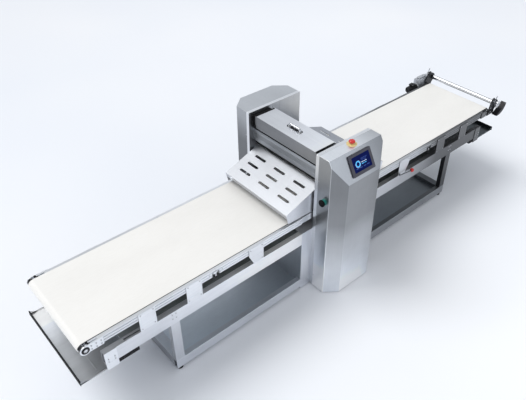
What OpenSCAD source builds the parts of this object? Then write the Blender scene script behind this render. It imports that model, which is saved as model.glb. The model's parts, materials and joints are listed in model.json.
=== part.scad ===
// Dough sheeter: two long belt tables either side of a pair of sheeting rollers,
// with a touch panel, guards, catch trays and a dough reeler at the outfeed end.
// Millimetres, +Z up, +X along the belts towards the outfeed, operator side at -Y.

/* [Tables] */
// Height of the belt's top surface above the floor
belt_top = 721; // [700:1:760]
// Width of the conveyor belts
belt_w = 650; // [620:5:652]
// From the rollers' centre plane to the outer end of each belt
table_reach = 2058; // [2040:5:2100]
// Thickness of the belting
belt_t = 2.4; // [1.6:0.1:2.6]
// Radius of the rollers that carry the belts
belt_roller_r = 34.2; // [32:0.1:34.3]

/* [Sheeting head] */
// Radius of the two sheeting rollers
roller_r = 45; // [42:0.5:45]
// Gap between the sheeting rollers at rest
roller_gap = 12; // [12:0.5:14]
// Travel of the upper roller below its rest height
gap_close = 11; // [5:0.5:11]
// Travel of the upper roller above its rest height
gap_open = 33; // [20:1:33]

/* [Housings] */
// Clear distance between the two side plates
side_gap = 710; // [705:1:720]
// Width of a housing along the belts
housing_w = 518; // [510:2:530]
// Height of the housings' flat top above the floor
housing_top = 1222; // [1200:1:1240]
// Width of the front face of a housing
front_w = 318; // [300:2:330]
// Depth of the whole housing, side plate included
housing_depth = 224; // [215:1:230]
// Depth of the housing's straight side strip, side plate included
strip_depth = 143; // [138:1:150]
// Thickness of the sheet metal of the covers
sheet_t = 2.5; // [1.5:0.5:3]

/* [Frame] */
// Height of the upper frame rails
rail_h = 107; // [100:1:110]
// Height of the upper rails' top face above the floor
rail_top = 573; // [565:1:575]
// Width of the frame tubes across the machine
tube_w = 40; // [36:1:40]
// Width of a leg along the belts
leg_w = 66; // [60:1:70]
// Height of the lower rails
low_rail_h = 81; // [75:1:85]
// Gap between the lower rails and the floor
low_rail_z = 26; // [24:1:30]

/* [Catch trays] */
// Length of a catch tray along the belts
tray_len = 384; // [370:2:400]
// Outer face of the infeed tray's lip, from the rollers' centre plane
left_tray_reach = 2103; // [2095:1:2110]
// Outer face of the outfeed tray's lip, from the rollers' centre plane
right_tray_reach = 2188; // [2180:1:2200]

/* [Reeler] */
// Centre of the winding roller, from the sheeting rollers' centre plane
reel_x = 2105; // [2100:1:2110]
// Height of the winding roller's centre above the floor
reel_z = 757; // [752:1:762]
// Radius of the winding roller
reel_r = 21; // [18:0.5:22]
// Radius of the round guard below the winding roller's near end
end_cover_r = 106; // [100:1:110]

/* [Hidden] */
$fn = 48;

eps = 0.01;
// the origin lies midway between the infeed tray's lip and the reeler's end cover
shift_x = (left_tray_reach - reel_x - end_cover_r) / 2;

// colours
steel = [0.72, 0.74, 0.77];
bright = [0.82, 0.84, 0.86];
dark_steel = [0.42, 0.43, 0.45];
belt_white = [0.95, 0.94, 0.90];
black = [0.06, 0.06, 0.07];
aluminium = [0.78, 0.79, 0.80];
grey_paint = [0.55, 0.57, 0.60];

// housings
half_w = housing_w / 2;
front_half = front_w / 2;
plate_y = side_gap / 2;            // inner face of a side plate
plate_t = 10;                      // its web
seam_y = plate_y + 29;             // its rim's outer edge, where the cover starts
strip_y = plate_y + strip_depth;   // end of the straight strip
front_y = plate_y + housing_depth; // front face
housing_z = 8;                     // underside above the floor
slope_y = plate_y + 120;           // where the flat top turns into the sloping panel
slope_drop = 186;                  // how far the sloping panel falls
slope_run = front_y - slope_y;
slope_angle = atan2(slope_drop, slope_run);
slope_len = norm([slope_drop, slope_run]);
chamfer = [half_w - front_half, strip_y - front_y] / norm([half_w - front_half, front_y - strip_y]);

// sheeting head
lower_z = belt_top + 1 - roller_r;
upper_z = lower_z + 2 * roller_r + roller_gap;
journal_r = 15;
upper_journal_r = 12;
fit = 0.05;                        // radial clearance of a running fit

// guards
hinge_x = 202;
hinge_z = 908;
guard_top = [190, 927.5];          // upper edge of a guard's top plate
guard_lip = [508, 813];            // lower edge of a guard's top plate
guard_y = 340;                     // outer face of a guard's cheeks
guard_t = 2;
guard_angle = atan2(guard_top[1] - guard_lip[1], guard_lip[0] - guard_top[0]);

// top cover
cover_x = [-225, -33];
cover_z = [1099, 1201];
cover_y = 321;
cover_fold = 1128;                 // below this the cover's front steps inwards
cover_hinge = [-50, 1108];

// tables
belt_r = belt_roller_r + 0.4 + belt_t;
roller_z = belt_top - belt_r;
end_x = table_reach - belt_r;
drive_x = roller_r + belt_r + 10;
profile_y = [328, 350];            // inner and outer face of a side profile
profile_z = [664, 717];
profile_in = 362;                  // inner end, at the base
profile_out = 1985;
belt_journal_r = 10;
splice_x = 1121;                   // where the two lengths of side profile meet
idler_r = 15;
idler_z = belt_top - 2 * belt_r + belt_t + 0.3 + idler_r;
bed_top = belt_top - belt_t - 0.3;
cross_xs = [420, 800, 1300, 1800];
bracket_in = 1911;                 // inner end of the end bracket

// frame
base_half = 362;
rail_end = 1935;
rail_y = [plate_y - tube_w, plate_y];
rail_bottom = rail_top - rail_h;
leg_x = [1424, 1424 + leg_w];
low_rail_top = low_rail_z + low_rail_h;
tube_t = 3;
plate_xs = [[1573, 1687], [1235, 1352], [725, 851]];

// catch trays
hanger_in = rail_end - 80;
hanger_z = 427;
tray_z = hanger_z + 4;
tray_y = 350;
lip_t = 3;

// sprockets on the far side
main_chain_y = 405;
table_chain_y = [416, 426];
lower_teeth = 22;
drive_teeth = 18;
lower_sprocket_r = 28;
drive_sprocket_r = lower_sprocket_r * drive_teeth / lower_teeth;
motor_z = 330;
motor_sprocket_r = 30;
roller_sprocket_r = 60;

// reeler
clamp_x = 2070;
clamp_z = 790;

module place() { translate([shift_x, 0, 0]) children(); }
module both_y() { children(); mirror([0, 1, 0]) children(); }
module both_x() { children(); mirror([1, 0, 0]) children(); }
// 2D shapes in (x, z) given a thickness along Y, and in (y, z) along X
module xz(y0, y1) { translate([0, y1, 0]) rotate([90, 0, 0]) linear_extrude(height = y1 - y0) children(); }
module yz(x0, x1) { translate([x0, 0, 0]) rotate([90, 0, 90]) linear_extrude(height = x1 - x0) children(); }
module box(low, high) { translate(low) cube(high - low); }
module rod_y(x, z, y0, y1, r) { translate([x, y0, z]) rotate([-90, 0, 0]) cylinder(h = y1 - y0, r = r); }
module rod_x(y, z, x0, x1, r) { translate([x0, y, z]) rotate([0, 90, 0]) cylinder(h = x1 - x0, r = r); }
module rod_z(x, y, z0, z1, r) { translate([x, y, z0]) cylinder(h = z1 - z0, r = r); }
// a slot with round ends, centred on the origin, long along Y
module slot_2d(length, width) {
    square([width, length - width], center = true);
    for (s = [-1, 1]) translate([0, s * (length - width) / 2]) circle(d = width);
}
// a square tube between two corners, open at both ends along X, Y or Z
module tube_x(low, high, wall) {
    difference() {
        box(low, high);
        box([low[0] - 1, low[1] + wall, low[2] + wall], [high[0] + 1, high[1] - wall, high[2] - wall]);
    }
}
module tube_z(low, high, wall) {
    difference() {
        box(low, high);
        box([low[0] + wall, low[1] + wall, low[2] - 1], [high[0] - wall, high[1] - wall, high[2] + 1]);
    }
}
module tube_y(low, high, wall) {
    difference() {
        box(low, high);
        box([low[0] + wall, low[1] - 1, low[2] + wall], [high[0] - wall, high[1] + 1, high[2] - wall]);
    }
}

// ---- housings ----

// Side plate: a stiff web with a rim all round, which holds the rollers and the hinges
module side_plate() {
    rim = 3;
    difference() {
        box([-half_w, plate_y, housing_z], [half_w, seam_y, housing_top]);
        box([-half_w + rim, plate_y + plate_t, housing_z + rim],
            [half_w - rim, seam_y + 1, housing_top - rim]);
        rod_y(0, lower_z, plate_y - 1, seam_y, journal_r + 4);
        box([-upper_journal_r - 4, plate_y - 1, upper_z - gap_close - 16],
            [upper_journal_r + 4, plate_y + plate_t + 1, upper_z + gap_open + 16]);
        both_x() rod_y(hinge_x, hinge_z, plate_y - 1, plate_y + plate_t + 1, 6 + fit);
        rod_y(cover_hinge[0], cover_hinge[1], plate_y - 1, plate_y + plate_t + 1, 5 + fit);
        both_x() rod_y(drive_x, roller_z, plate_y - 1, plate_y + plate_t + 1, belt_journal_r + 4);
    }
}
module near_side_plate() { color(bright) place() mirror([0, 1, 0]) side_plate(); }
module far_side_plate() { color(bright) place() side_plate(); }

// Corner of the housing's outline moved inwards by the sheet's thickness
function unit(v) = v / norm(v);
function inward(corner, a, b, t) = corner + t * (a + b) / (1 + a * b);
side_in = [-1, 0];
front_in = [0, -1];
chamfer_in = unit([strip_y - front_y, front_half - half_w]);
function outline_half(t) = [
    [half_w - t, seam_y + (t > 0 ? -1 : 0)],
    inward([half_w, strip_y], side_in, chamfer_in, t),
    inward([front_half, front_y], front_in, chamfer_in, t)
];
function flip(points) = [for (i = [len(points) - 1 : -1 : 0]) [-points[i][0], points[i][1]]];
module housing_outline(t) { polygon(concat(outline_half(t), flip(outline_half(t)))); }

// Cover of a housing, folded from sheet: flat top, chamfered corners and, on the
// operator's side, a sloping panel for the touch screen. Its back is open.
module housing_body(t, sloped) {
    difference() {
        translate([0, 0, housing_z + t])
            linear_extrude(height = housing_top - housing_z - 2 * t) housing_outline(t);
        if (sloped)
            translate([0, slope_y, housing_top]) rotate([-slope_angle, 0, 0])
                translate([-half_w - 10, -100, -t]) cube([housing_w + 20, slope_len + 200, 300]);
    }
}
// a frame on the sloping panel: X across, Y down the slope, Z out of it
module on_slope() {
    translate([0, slope_y, housing_top]) rotate([-slope_angle, 0, 0]) children();
}
screen_x = 5;
screen_s = 106;
estop_pos = [14, 422];
button_pos = [457, 878];
module near_housing() {
    color(steel) place() mirror([0, 1, 0]) difference() {
        housing_body(0, true);
        housing_body(sheet_t, true);
        on_slope() translate([screen_x - 96, screen_s - 69, -20]) cube([192, 138, 40]);
        rod_z(estop_pos[0], estop_pos[1], housing_top - 10, housing_top + 1, 11.5);
        rod_x(button_pos[0], button_pos[1], -half_w - 1, -half_w + 10, 11.5);
    }
}
gland_pos = [480, 90];
module far_housing() {
    color(steel) place() difference() {
        housing_body(0, false);
        housing_body(sheet_t, false);
        rod_x(gland_pos[0], gland_pos[1], half_w - 10, half_w + 1, 10.2);
    }
}

// Touch panel: bezel in front of the sloping panel, its case behind it
module hmi_panel() {
    bezel = [218, 151, 7];
    color([0.20, 0.19, 0.24]) place() mirror([0, 1, 0]) on_slope() difference() {
        union() {
            translate([screen_x - bezel[0] / 2, screen_s - bezel[1] / 2, 0]) cube(bezel);
            translate([screen_x - 95, screen_s - 68, -38]) cube([190, 136, 38 + eps]);
        }
        translate([screen_x + 3 - 86, screen_s - 1 - 55, 5]) cube([172, 110, 5]);
    }
}
module hmi_display() {
    color([0.03, 0.05, 0.16]) place() mirror([0, 1, 0]) on_slope()
        translate([screen_x + 3 - 85.8, screen_s - 1 - 54.8, 5]) cube([171.6, 109.6, 1.4]);
}

// Emergency stop on the near housing's top: yellow plate, collar and a body under the sheet
estop_rest = housing_top + 14;
module estop_base() {
    color([0.92, 0.78, 0.12]) place() translate([estop_pos[0], -estop_pos[1], 0]) difference() {
        union() {
            rod_z(0, 0, housing_top, housing_top + 3, 37.5);
            rod_z(0, 0, housing_top + 3, housing_top + 7, 19);
            rod_z(0, 0, housing_top - 30, housing_top + 1, 11.3);
        }
        rod_z(0, 0, housing_top - 18, housing_top + 8, 8 + fit);
    }
}
module estop_button() {
    color([0.80, 0.08, 0.07]) place() translate([estop_pos[0], -estop_pos[1], 0]) {
        rod_z(0, 0, housing_top - 8, estop_rest, 8);
        difference() {
            translate([0, 0, estop_rest]) scale(1) rotate_extrude()
                polygon(concat([[0, 0], [20, 0], [23.5, 4]],
                    [for (a = [0 : 15 : 90]) [23.5 * cos(a), 8 + 13 * sin(a)]]));
            // finger flutes round the rim
            for (i = [0 : 4]) rotate(i * 72) translate([29, 0, estop_rest - 1]) cylinder(h = 30, r = 9);
        }
    }
}

// Start button on the near housing's infeed side strip
module button_collar() {
    color([0.05, 0.42, 0.38]) place() mirror([0, 1, 0]) difference() {
        union() {
            rod_x(button_pos[0], button_pos[1], -half_w - 16, -half_w, 23);
            rod_x(button_pos[0], button_pos[1], -half_w, -half_w + 30, 11.3);
        }
        rod_x(button_pos[0], button_pos[1], -half_w - 17, -half_w + 18, 7 + fit);
    }
}
module start_button() {
    color(black) place() mirror([0, 1, 0]) translate([0, button_pos[0], button_pos[1]]) {
        rod_x(0, 0, -half_w - 24, -half_w + 8, 7);
        translate([-half_w - 21, 0, 0]) rotate([0, -90, 0]) rotate_extrude()
            polygon(concat([[0, 0], [23, 0], [27, 4]],
                [for (a = [0 : 15 : 90]) [27 * cos(a), 7 + 14 * sin(a)]]));
    }
}

// ---- base and frame ----

// Sheet-metal base that stands between the housings and carries both frames
module centre_base() {
    color(steel) place() difference() {
        box([-base_half, -plate_y, housing_z], [base_half, plate_y, rail_top]);
        box([-base_half + 3, -plate_y + 3, housing_z + 3], [base_half - 3, plate_y - 3, rail_top - 3]);
        box([-240, -250, rail_top - 4], [240, 250, rail_top + 1]);
    }
}

// Adjustable feet: a pad and a short threaded stem
module foot(x, y, top) {
    rod_z(x, y, 0, 6, 24);
    rod_z(x, y, 6, top, 7);
}
foot_y = (rail_y[0] + rail_y[1]) / 2 - 8;
module levelling_feet() {
    color(dark_steel) place() {
        both_x() both_y() foot((leg_x[0] + leg_x[1]) / 2, foot_y, low_rail_z);
        both_x() both_y() foot(base_half - 40, foot_y - 10, housing_z);
        both_x() both_y() foot(half_w - 80, strip_y - 50, housing_z);
    }
}
module top_rails() {
    slot_x = [1690, 1796];
    color(steel) place() both_x() both_y() difference() {
        tube_x([base_half, rail_y[0], rail_bottom], [rail_end, rail_y[1], rail_top], tube_t);
        translate([(slot_x[0] + slot_x[1]) / 2, (rail_y[0] + rail_y[1]) / 2, rail_top - tube_t - 1])
            rotate(90) linear_extrude(height = tube_t + 2) slot_2d(slot_x[1] - slot_x[0], 9);
    }
}
module legs() {
    color(steel) place() both_x() both_y()
        tube_z([leg_x[0], rail_y[0], low_rail_top], [leg_x[1], rail_y[1], rail_bottom], tube_t);
}
module lower_rails() {
    color(steel) place() both_x() {
        both_y() tube_x([base_half, rail_y[0], low_rail_z], [leg_x[1], rail_y[1], low_rail_top], tube_t);
        tube_y([leg_x[0], -rail_y[0], low_rail_z], [leg_x[1], rail_y[0], low_rail_top], tube_t);
    }
}
// Sheet between each pair of upper rails that catches the flour falling from the belt
pan_z = rail_top - 12;
pan_end = 1800;
module flour_pans() {
    color(dark_steel) place() both_x() {
        box([base_half, -rail_y[0], pan_z - 2], [pan_end, rail_y[0], pan_z]);
        for (x = [640, 1000, 1360])
            box([x, -rail_y[0], pan_z - 22], [x + 25, rail_y[0], pan_z - 2]);
        box([pan_end - 2, -rail_y[0], pan_z - 14], [pan_end, rail_y[0], pan_z - 2]);
    }
}
shelf_z = 75;
module shelves() {
    color(dark_steel) place() both_x() {
        box([base_half, -rail_y[0], shelf_z - 2], [leg_x[0], rail_y[0], shelf_z]);
        for (x = [640, 920, 1200])
            box([x, -rail_y[0], shelf_z - 30], [x + 30, rail_y[0], shelf_z - 2]);
    }
}

// Plates that stand on the upper rails and hold the tables' side profiles
module mounting_plates() {
    plate_top = 714;
    color(bright) place() both_x() both_y() difference() {
        for (p = plate_xs) box([p[0], profile_y[1], rail_top], [p[1], plate_y, plate_top]);
        // the plate nearest the housing has its lower outer corner cut off
        xz(profile_y[1] - 1, plate_y + 1)
            polygon([[plate_xs[2][1] + 1, 655], [plate_xs[2][1] + 1, rail_top - 1], [812, rail_top - 1]]);
        rod_y(lever_x, lever_z, profile_y[1] - 1, plate_y + 1, 5 + fit);
    }
}

// ---- tables ----

// Extruded side profile with two grooves in its outer face and a notch for the idler's shaft
module profile_2d() {
    groove = 5;
    difference() {
        translate([profile_y[0], profile_z[0]])
            square([profile_y[1] - profile_y[0], profile_z[1] - profile_z[0]]);
        for (z = [profile_z[0] + 14, profile_z[0] + 36])
            translate([profile_y[1] - groove, z]) square([groove + 1, 5]);
        translate([profile_y[0] + 6, profile_z[0] + 8])
            square([7, profile_z[1] - profile_z[0] - 16]);
    }
}
module side_profiles() {
    notch = [1093, 1150];
    color(aluminium) place() both_x() both_y() difference() {
        union() {
            yz(profile_in, splice_x - 0.5) profile_2d();
            yz(splice_x + 0.5, profile_out) profile_2d();
        }
        box([notch[0], profile_y[0] - 1, profile_z[0] - 1],
            [notch[1], profile_y[1] + 1, profile_z[0] + 32]);
    }
}

// Plates that carry each belt's inner roller, between the side profile and the sheeting
// rollers, and the blocks in the profiles' notches that carry the idlers
module roller_brackets() {
    nose_in = roller_r + 14;
    color(bright) place() both_x() both_y() difference() {
        xz(profile_y[0] + 4, profile_y[1] - 6)
            polygon([[nose_in, profile_z[1] - 2], [nose_in, profile_z[0] + 8],
                [nose_in + 30, profile_z[0] - 8], [profile_in, profile_z[0]], [profile_in, profile_z[1]]]);
        rod_y(drive_x, roller_z, profile_y[0], profile_y[1], belt_journal_r + fit);
    }
    color(bright) place() both_x() both_y() difference() {
        box([splice_x - 16, profile_y[0] + 5, idler_z - 12],
            [splice_x + 16, profile_y[1] - 5, profile_z[0] + 32]);
        rod_y(splice_x, idler_z, profile_y[0], profile_y[1], 6 + fit);
    }
}
module slider_beds() {
    bed_x = [drive_x + 42, end_x - 42];
    bed_y = 324;
    color(steel) place() both_x() {
        box([bed_x[0], -bed_y, bed_top - 2], [bed_x[1], bed_y, bed_top]);
        both_y() box([bed_x[0], bed_y - 3, profile_z[0] + 38], [bed_x[1], bed_y, bed_top - 2 + eps]);
    }
}
module table_cross_members() {
    color(steel) place() both_x() for (x = cross_xs)
        tube_y([x, -profile_y[0], profile_z[0] + 8], [x + 30, profile_y[0], profile_z[0] + 38], 2.5);
}

// Endless belt round its end roller and its drive roller
module belt_2d(r) {
    translate([drive_x, roller_z - r]) square([end_x - drive_x, 2 * r]);
    for (x = [drive_x, end_x]) translate([x, roller_z]) circle(r = r, $fn = 64);
}
module belt() {
    xz(-belt_w / 2, belt_w / 2) difference() {
        belt_2d(belt_r);
        belt_2d(belt_r - belt_t);
    }
}
module left_belt() { color(belt_white) place() mirror([1, 0, 0]) belt(); }
module right_belt() { color(belt_white) place() belt(); }

// End bracket: a plate with a round end about the belt roller's shaft
module belt_end_brackets() {
    bracket_r = 33;
    color(bright) place() both_x() both_y() {
        difference() {
            union() {
                box([bracket_in, profile_y[1], roller_z - 26],
                    [end_x, profile_y[1] + 5, roller_z + bracket_r]);
                rod_y(end_x, roller_z, profile_y[1], profile_y[1] + 5, bracket_r);
            }
            rod_y(end_x, roller_z, profile_y[1] - 1, profile_y[1] + 6, belt_journal_r + fit);
        }
        // belt tension screw on top of the profile
        screw_y = (profile_y[0] + profile_y[1]) / 2;
        rod_x(screw_y, profile_z[1] + 4.95, profile_out - 40, profile_out + 10, 4.9);
    }
}

// Roller of a belt table, with a journal at each end
module belt_roller(x, far_end) {
    rod_y(x, roller_z, -belt_w / 2 + 3, belt_w / 2 - 3, belt_roller_r);
    rod_y(x, roller_z, -profile_y[1] - 7, far_end, belt_journal_r);
}
// toothed wheel of the chain drives
module sprocket(x, z, y0, r, teeth, bore) {
    xz(y0, y0 + 6) translate([x, z]) difference() {
        circle(r = r);
        for (i = [0 : teeth - 1]) rotate(i * 360 / teeth) translate([r, 0]) circle(r = 1.6, $fn = 16);
        circle(r = bore);
    }
}
module left_end_roller() { color(bright) place() belt_roller(-end_x, profile_y[1] + 7); }
module right_end_roller() { color(bright) place() belt_roller(end_x, profile_y[1] + 7); }
module left_drive_roller() {
    color(bright) place() {
        belt_roller(-drive_x, table_chain_y[0] + 9);
        sprocket(-drive_x, roller_z, table_chain_y[0], drive_sprocket_r, drive_teeth, belt_journal_r - eps);
    }
}
module right_drive_roller() {
    color(bright) place() {
        belt_roller(drive_x, table_chain_y[1] + 9);
        sprocket(drive_x, roller_z, table_chain_y[1], drive_sprocket_r, drive_teeth, belt_journal_r - eps);
    }
}
// Idler that keeps the belt's lower run from sagging
module idler(x) {
    rod_y(x, idler_z, -profile_y[0] + 8, profile_y[0] - 8, idler_r);
    rod_y(x, idler_z, -profile_y[1] + 1, profile_y[1] - 1, 6);
}
module left_idler() { color(bright) place() idler(-splice_x); }
module right_idler() { color(bright) place() idler(splice_x); }

// ---- sheeting head ----

module lower_roller() {
    color(bright) place() {
        rod_y(0, lower_z, -332, 332, roller_r);
        rod_y(0, lower_z, -396, table_chain_y[1] + 9, journal_r);
        sprocket(0, lower_z, main_chain_y, roller_sprocket_r, 40, journal_r - eps);
        for (y = table_chain_y) sprocket(0, lower_z, y, lower_sprocket_r, lower_teeth, journal_r - eps);
    }
}
module upper_roller() {
    color(bright) place() {
        rod_y(0, upper_z, -332, 332, roller_r);
        rod_y(0, upper_z, -398, 398, upper_journal_r);
    }
}
// Bearing blocks of the lower roller, and the guides that the upper roller's blocks slide in
guide_x = 36;
module roller_bearings() {
    color(dark_steel) place() both_y() {
        difference() {
            box([-34, plate_y + plate_t, lower_z - 34], [34, plate_y + 38, lower_z + 34]);
            rod_y(0, lower_z, plate_y + plate_t - 1, plate_y + 39, journal_r + fit);
        }
        both_x() box([guide_x, plate_y + plate_t, upper_z - 60],
            [guide_x + 10, plate_y + 42, upper_z + 110]);
    }
}
// Sliding blocks of the upper roller, the rods that lift them, and the roller's scraper blades
actuator_z = 905;
module roller_carriage() {
    block_y = [plate_y + plate_t + 1.5, plate_y + 42];
    color(grey_paint) place() {
        both_y() difference() {
            union() {
                box([-guide_x + 0.6, block_y[0], upper_z - 30], [guide_x - 0.6, block_y[1], upper_z + 34]);
                rod_z(0, plate_y + 27, upper_z + 33, actuator_z + 40, 8);
            }
            rod_y(0, upper_z, block_y[0] - 1, block_y[1] + 1, upper_journal_r + fit);
        }
    }
}
module gap_actuators() {
    color([0.30, 0.31, 0.33]) place() both_y() difference() {
        union() {
            rod_z(0, plate_y + 27, actuator_z, actuator_z + 210, 16.5);
            box([-20, plate_y + plate_t, actuator_z + 130], [20, plate_y + 27, actuator_z + 190]);
        }
        rod_z(0, plate_y + 27, actuator_z - 1, actuator_z + 90, 8 + fit);
    }
}
// Plates that bridge the space between each belt and the lower roller and scrape it clean
module lower_scrapers() {
    color(bright) place() both_x()
        xz(-profile_y[0] - 4, profile_y[0] + 4)
            polygon([[27, 716.2], [74, 717.6], [66, 713], [58, 709],
                [53.5, 690], [50, 690], [48, 706], [40, 709.5]]);
}
// Crossbar between the side plates under the top cover, ribbed along its front
module front_crossbar() {
    rib = 2;
    pitch = 12;
    color(steel) place() difference() {
        xz(-plate_y, plate_y)
            polygon([[-214, 979], [-214, 1062], [-208, 1074], [-150, 1074],
                [-150, 1050], [-190, 1050], [-190, 979]]);
        for (y = [-330 : pitch : 330]) box([-215, y, 1010], [-214 + rib, y + pitch / 2, 1053]);
    }
}
// Fixed panel that closes the head between the top cover and the outfeed guard
module rear_head_panel() {
    color(steel) place() {
        xz(-plate_y, plate_y)
            polygon([[-36, 1090], [-36, 1087], [164, 946], [182, 946], [182, 949], [166, 949]]);
        // cleats that hold it to the side plates
        both_y() xz(plate_y - 22, plate_y) polygon([[20, 1002], [60, 1002], [60, 1020], [20, 1048]]);
    }
}

// Guard: a wedge-shaped hood with nine slots, hinged between the housings
module guard() {
    slot_ys = [-212, 0, 212];
    slot_s = [86, 166, 246];
    dir = [cos(guard_angle), -sin(guard_angle)];
    normal = [sin(guard_angle), cos(guard_angle)];
    color([0.86, 0.87, 0.89]) {
        difference() {
            xz(-guard_y, guard_y) polygon([guard_top, guard_lip, guard_lip - guard_t * normal,
                guard_top - guard_t * normal]);
            translate([guard_top[0], 0, guard_top[1]]) rotate([0, guard_angle, 0])
                for (s = slot_s, y = slot_ys)
                    translate([s, y, -6]) linear_extrude(height = 12) slot_2d(116, 21);
        }
        // front lip
        xz(-guard_y, guard_y) polygon([guard_lip, guard_lip + [-8, -34], guard_lip + [-10, -34],
            guard_lip + [-2, -guard_t]]);
        // cheeks, which reach down beside the belt
        both_y() xz(guard_y - guard_t, guard_y)
            polygon([guard_top - guard_t * normal, guard_lip - guard_t * normal, guard_lip + [-21, -84],
                [244, 724], [215, 760], [190, 890]]);
        both_y() {
            rod_y(hinge_x, hinge_z, guard_y - eps, plate_y - 1, 11);
            rod_y(hinge_x, hinge_z, plate_y - 1 - eps, plate_y + plate_t + 4, 6);
        }
    }
}
module left_guard() { place() mirror([1, 0, 0]) guard(); }
module right_guard() { place() guard(); }

// Section of the top cover, or of the space inside it, open at the bottom
module cover_2d(t) {
    inset = 4;
    low = cover_z[0] - (t > 0 ? 1 : 0);
    polygon([[cover_x[0] + t, cover_fold + t], [cover_x[0] + t, cover_z[1] - t],
        [cover_x[1] - t, cover_z[1] - t], [cover_x[1] - t, low],
        [cover_x[0] + inset + t, low], [cover_x[0] + inset + t, cover_fold + t]]);
}
// Top cover: a lid with turned-down sides, hinged along its outfeed edge
module top_cover() {
    t = 2;
    color(steel) place() {
        difference() {
            xz(-cover_y, cover_y) cover_2d(0);
            xz(-cover_y + t, cover_y - t) cover_2d(t);
        }
        both_y() {
            rod_y(cover_hinge[0], cover_hinge[1], cover_y - eps, plate_y - 1, 8);
            rod_y(cover_hinge[0], cover_hinge[1], plate_y - 1 - eps, plate_y + plate_t + 4, 5);
        }
    }
}
module cover_handle() {
    grip = 56;
    rise = 20;
    r = 8;
    x = (cover_x[0] + cover_x[1]) / 2 + 4;
    color([0.85, 0.86, 0.88]) place() {
        rod_y(x, cover_z[1] + rise, -grip, grip, r);
        both_y() {
            translate([x, grip, cover_z[1] + rise]) sphere(r = r);
            rod_z(x, grip, cover_z[1], cover_z[1] + rise, r);
            rod_z(x, grip, cover_z[1], cover_z[1] + 3, 13);
        }
    }
}

// ---- drive, inside the far housing ----

module main_gearmotor() {
    color([0.30, 0.36, 0.44]) place() {
        difference() {
            box([-65, 425, motor_z - 70], [65, 535, motor_z + 70]);
            rod_y(0, motor_z, 424, 480, 12 + fit);
        }
        rod_z(0, 480, motor_z + 70, motor_z + 270, 55);
        rod_z(0, 480, motor_z + 270, motor_z + 300, 50);
        box([-75, 425, housing_z + sheet_t], [75, 535, motor_z - 70]);
    }
}
module motor_sprocket() {
    color(dark_steel) place() {
        sprocket(0, motor_z, main_chain_y, motor_sprocket_r, 20, 12 - eps);
        rod_y(0, motor_z, main_chain_y - 3, 470, 12);
    }
}
// A chain's loop round two wheels, as links laid end to end: straight between the wheels
// and bent round each of them
chain_t = 4;
function turned(a, b, i, n) = a + (b - a) * i / n;
function arc(c, r, a0, a1, n) =
    [for (i = [0 : n]) c + r * [cos(turned(a0, a1, i, n)), sin(turned(a0, a1, i, n))]];
function loop_points(gap, ra, rb, lean, n) = concat(
    arc([0, 0], ra, 90 - lean, 270 + lean, n),
    arc([gap, 0], rb, -90 + lean, 90 - lean, n));
module chain_loop(a, b, ra, rb, y0) {
    gap = norm(b - a);
    turn = atan2(b[1] - a[1], b[0] - a[0]);
    lean = asin((ra - rb) / gap);
    xz(y0, y0 + 5) translate(a) rotate(turn) difference() {
        polygon(loop_points(gap, ra + 0.8 + chain_t, rb + 0.8 + chain_t, lean, 14));
        polygon(loop_points(gap, ra + 0.8, rb + 0.8, lean, 14));
    }
}
module drive_chains() {
    color(dark_steel) place() {
        chain_loop([0, lower_z], [0, motor_z], roller_sprocket_r, motor_sprocket_r, main_chain_y + 0.5);
        for (i = [0, 1])
            chain_loop([0, lower_z], [(2 * i - 1) * drive_x, roller_z],
                lower_sprocket_r, drive_sprocket_r, table_chain_y[i] + 0.5);
    }
}
module control_box() {
    color(grey_paint) place() difference() {
        union() {
            box([-150, -510, 260], [150, -400, 600]);
            // stand-offs from the side plate
            for (x = [-120, 120], z = [300, 560]) rod_y(x, z, -401, -plate_y - plate_t, 6);
        }
        box([-147, -507, 263], [147, -403, 597]);
    }
}
// Mains inlet: a gland on the far housing's outfeed side, near the floor
module cable_gland() {
    color(black) place() difference() {
        union() {
            rod_x(gland_pos[0], gland_pos[1], half_w - 14, half_w + 2, 10);
            translate([half_w, gland_pos[0], gland_pos[1]]) rotate([0, 90, 0])
                cylinder(h = 8, r = 15, $fn = 6);
            rod_x(gland_pos[0], gland_pos[1], half_w + 8 - eps, half_w + 24, 12);
        }
        rod_x(gland_pos[0], gland_pos[1], half_w - 15, half_w + 25, 6.5);
    }
}

// ---- catch trays ----

// Hanger on the end of each upper rail, with a runner that the tray slides on
module tray_hangers() {
    color(bright) place() both_x() both_y() {
        box([hanger_in, plate_y, hanger_z], [rail_end, plate_y + 4, rail_top + 1]);
        box([hanger_in, rail_y[0] + 5, hanger_z], [rail_end, plate_y + eps, hanger_z + 3.5]);
    }
}
// Sheet-metal tray with a high lip at its outer end and a black grip strip on each side
module tray(reach) {
    lip_top = rail_bottom - 1;
    outer = reach - lip_t;
    inner = outer - tray_len;
    color(steel) {
        box([inner, -tray_y, tray_z], [outer, tray_y, tray_z + 2]);
        both_y() box([inner, tray_y - 2, tray_z + 2 - eps], [outer, tray_y, tray_z + 10]);
        box([inner, -tray_y, tray_z + 2 - eps], [inner + 2, tray_y, tray_z + 10]);
    }
    color(black) {
        box([outer, -tray_y - 3, hanger_z], [reach, tray_y + 3, lip_top]);
        both_y() box([inner, tray_y - eps, tray_z + 1], [inner + 140, tray_y + 4.4, lip_top - 1]);
    }
}
module left_tray() { place() mirror([1, 0, 0]) tray(left_tray_reach); }
module right_tray() { place() tray(right_tray_reach); }

// ---- table lock lever, on the outfeed table's inner mounting plate ----

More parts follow.
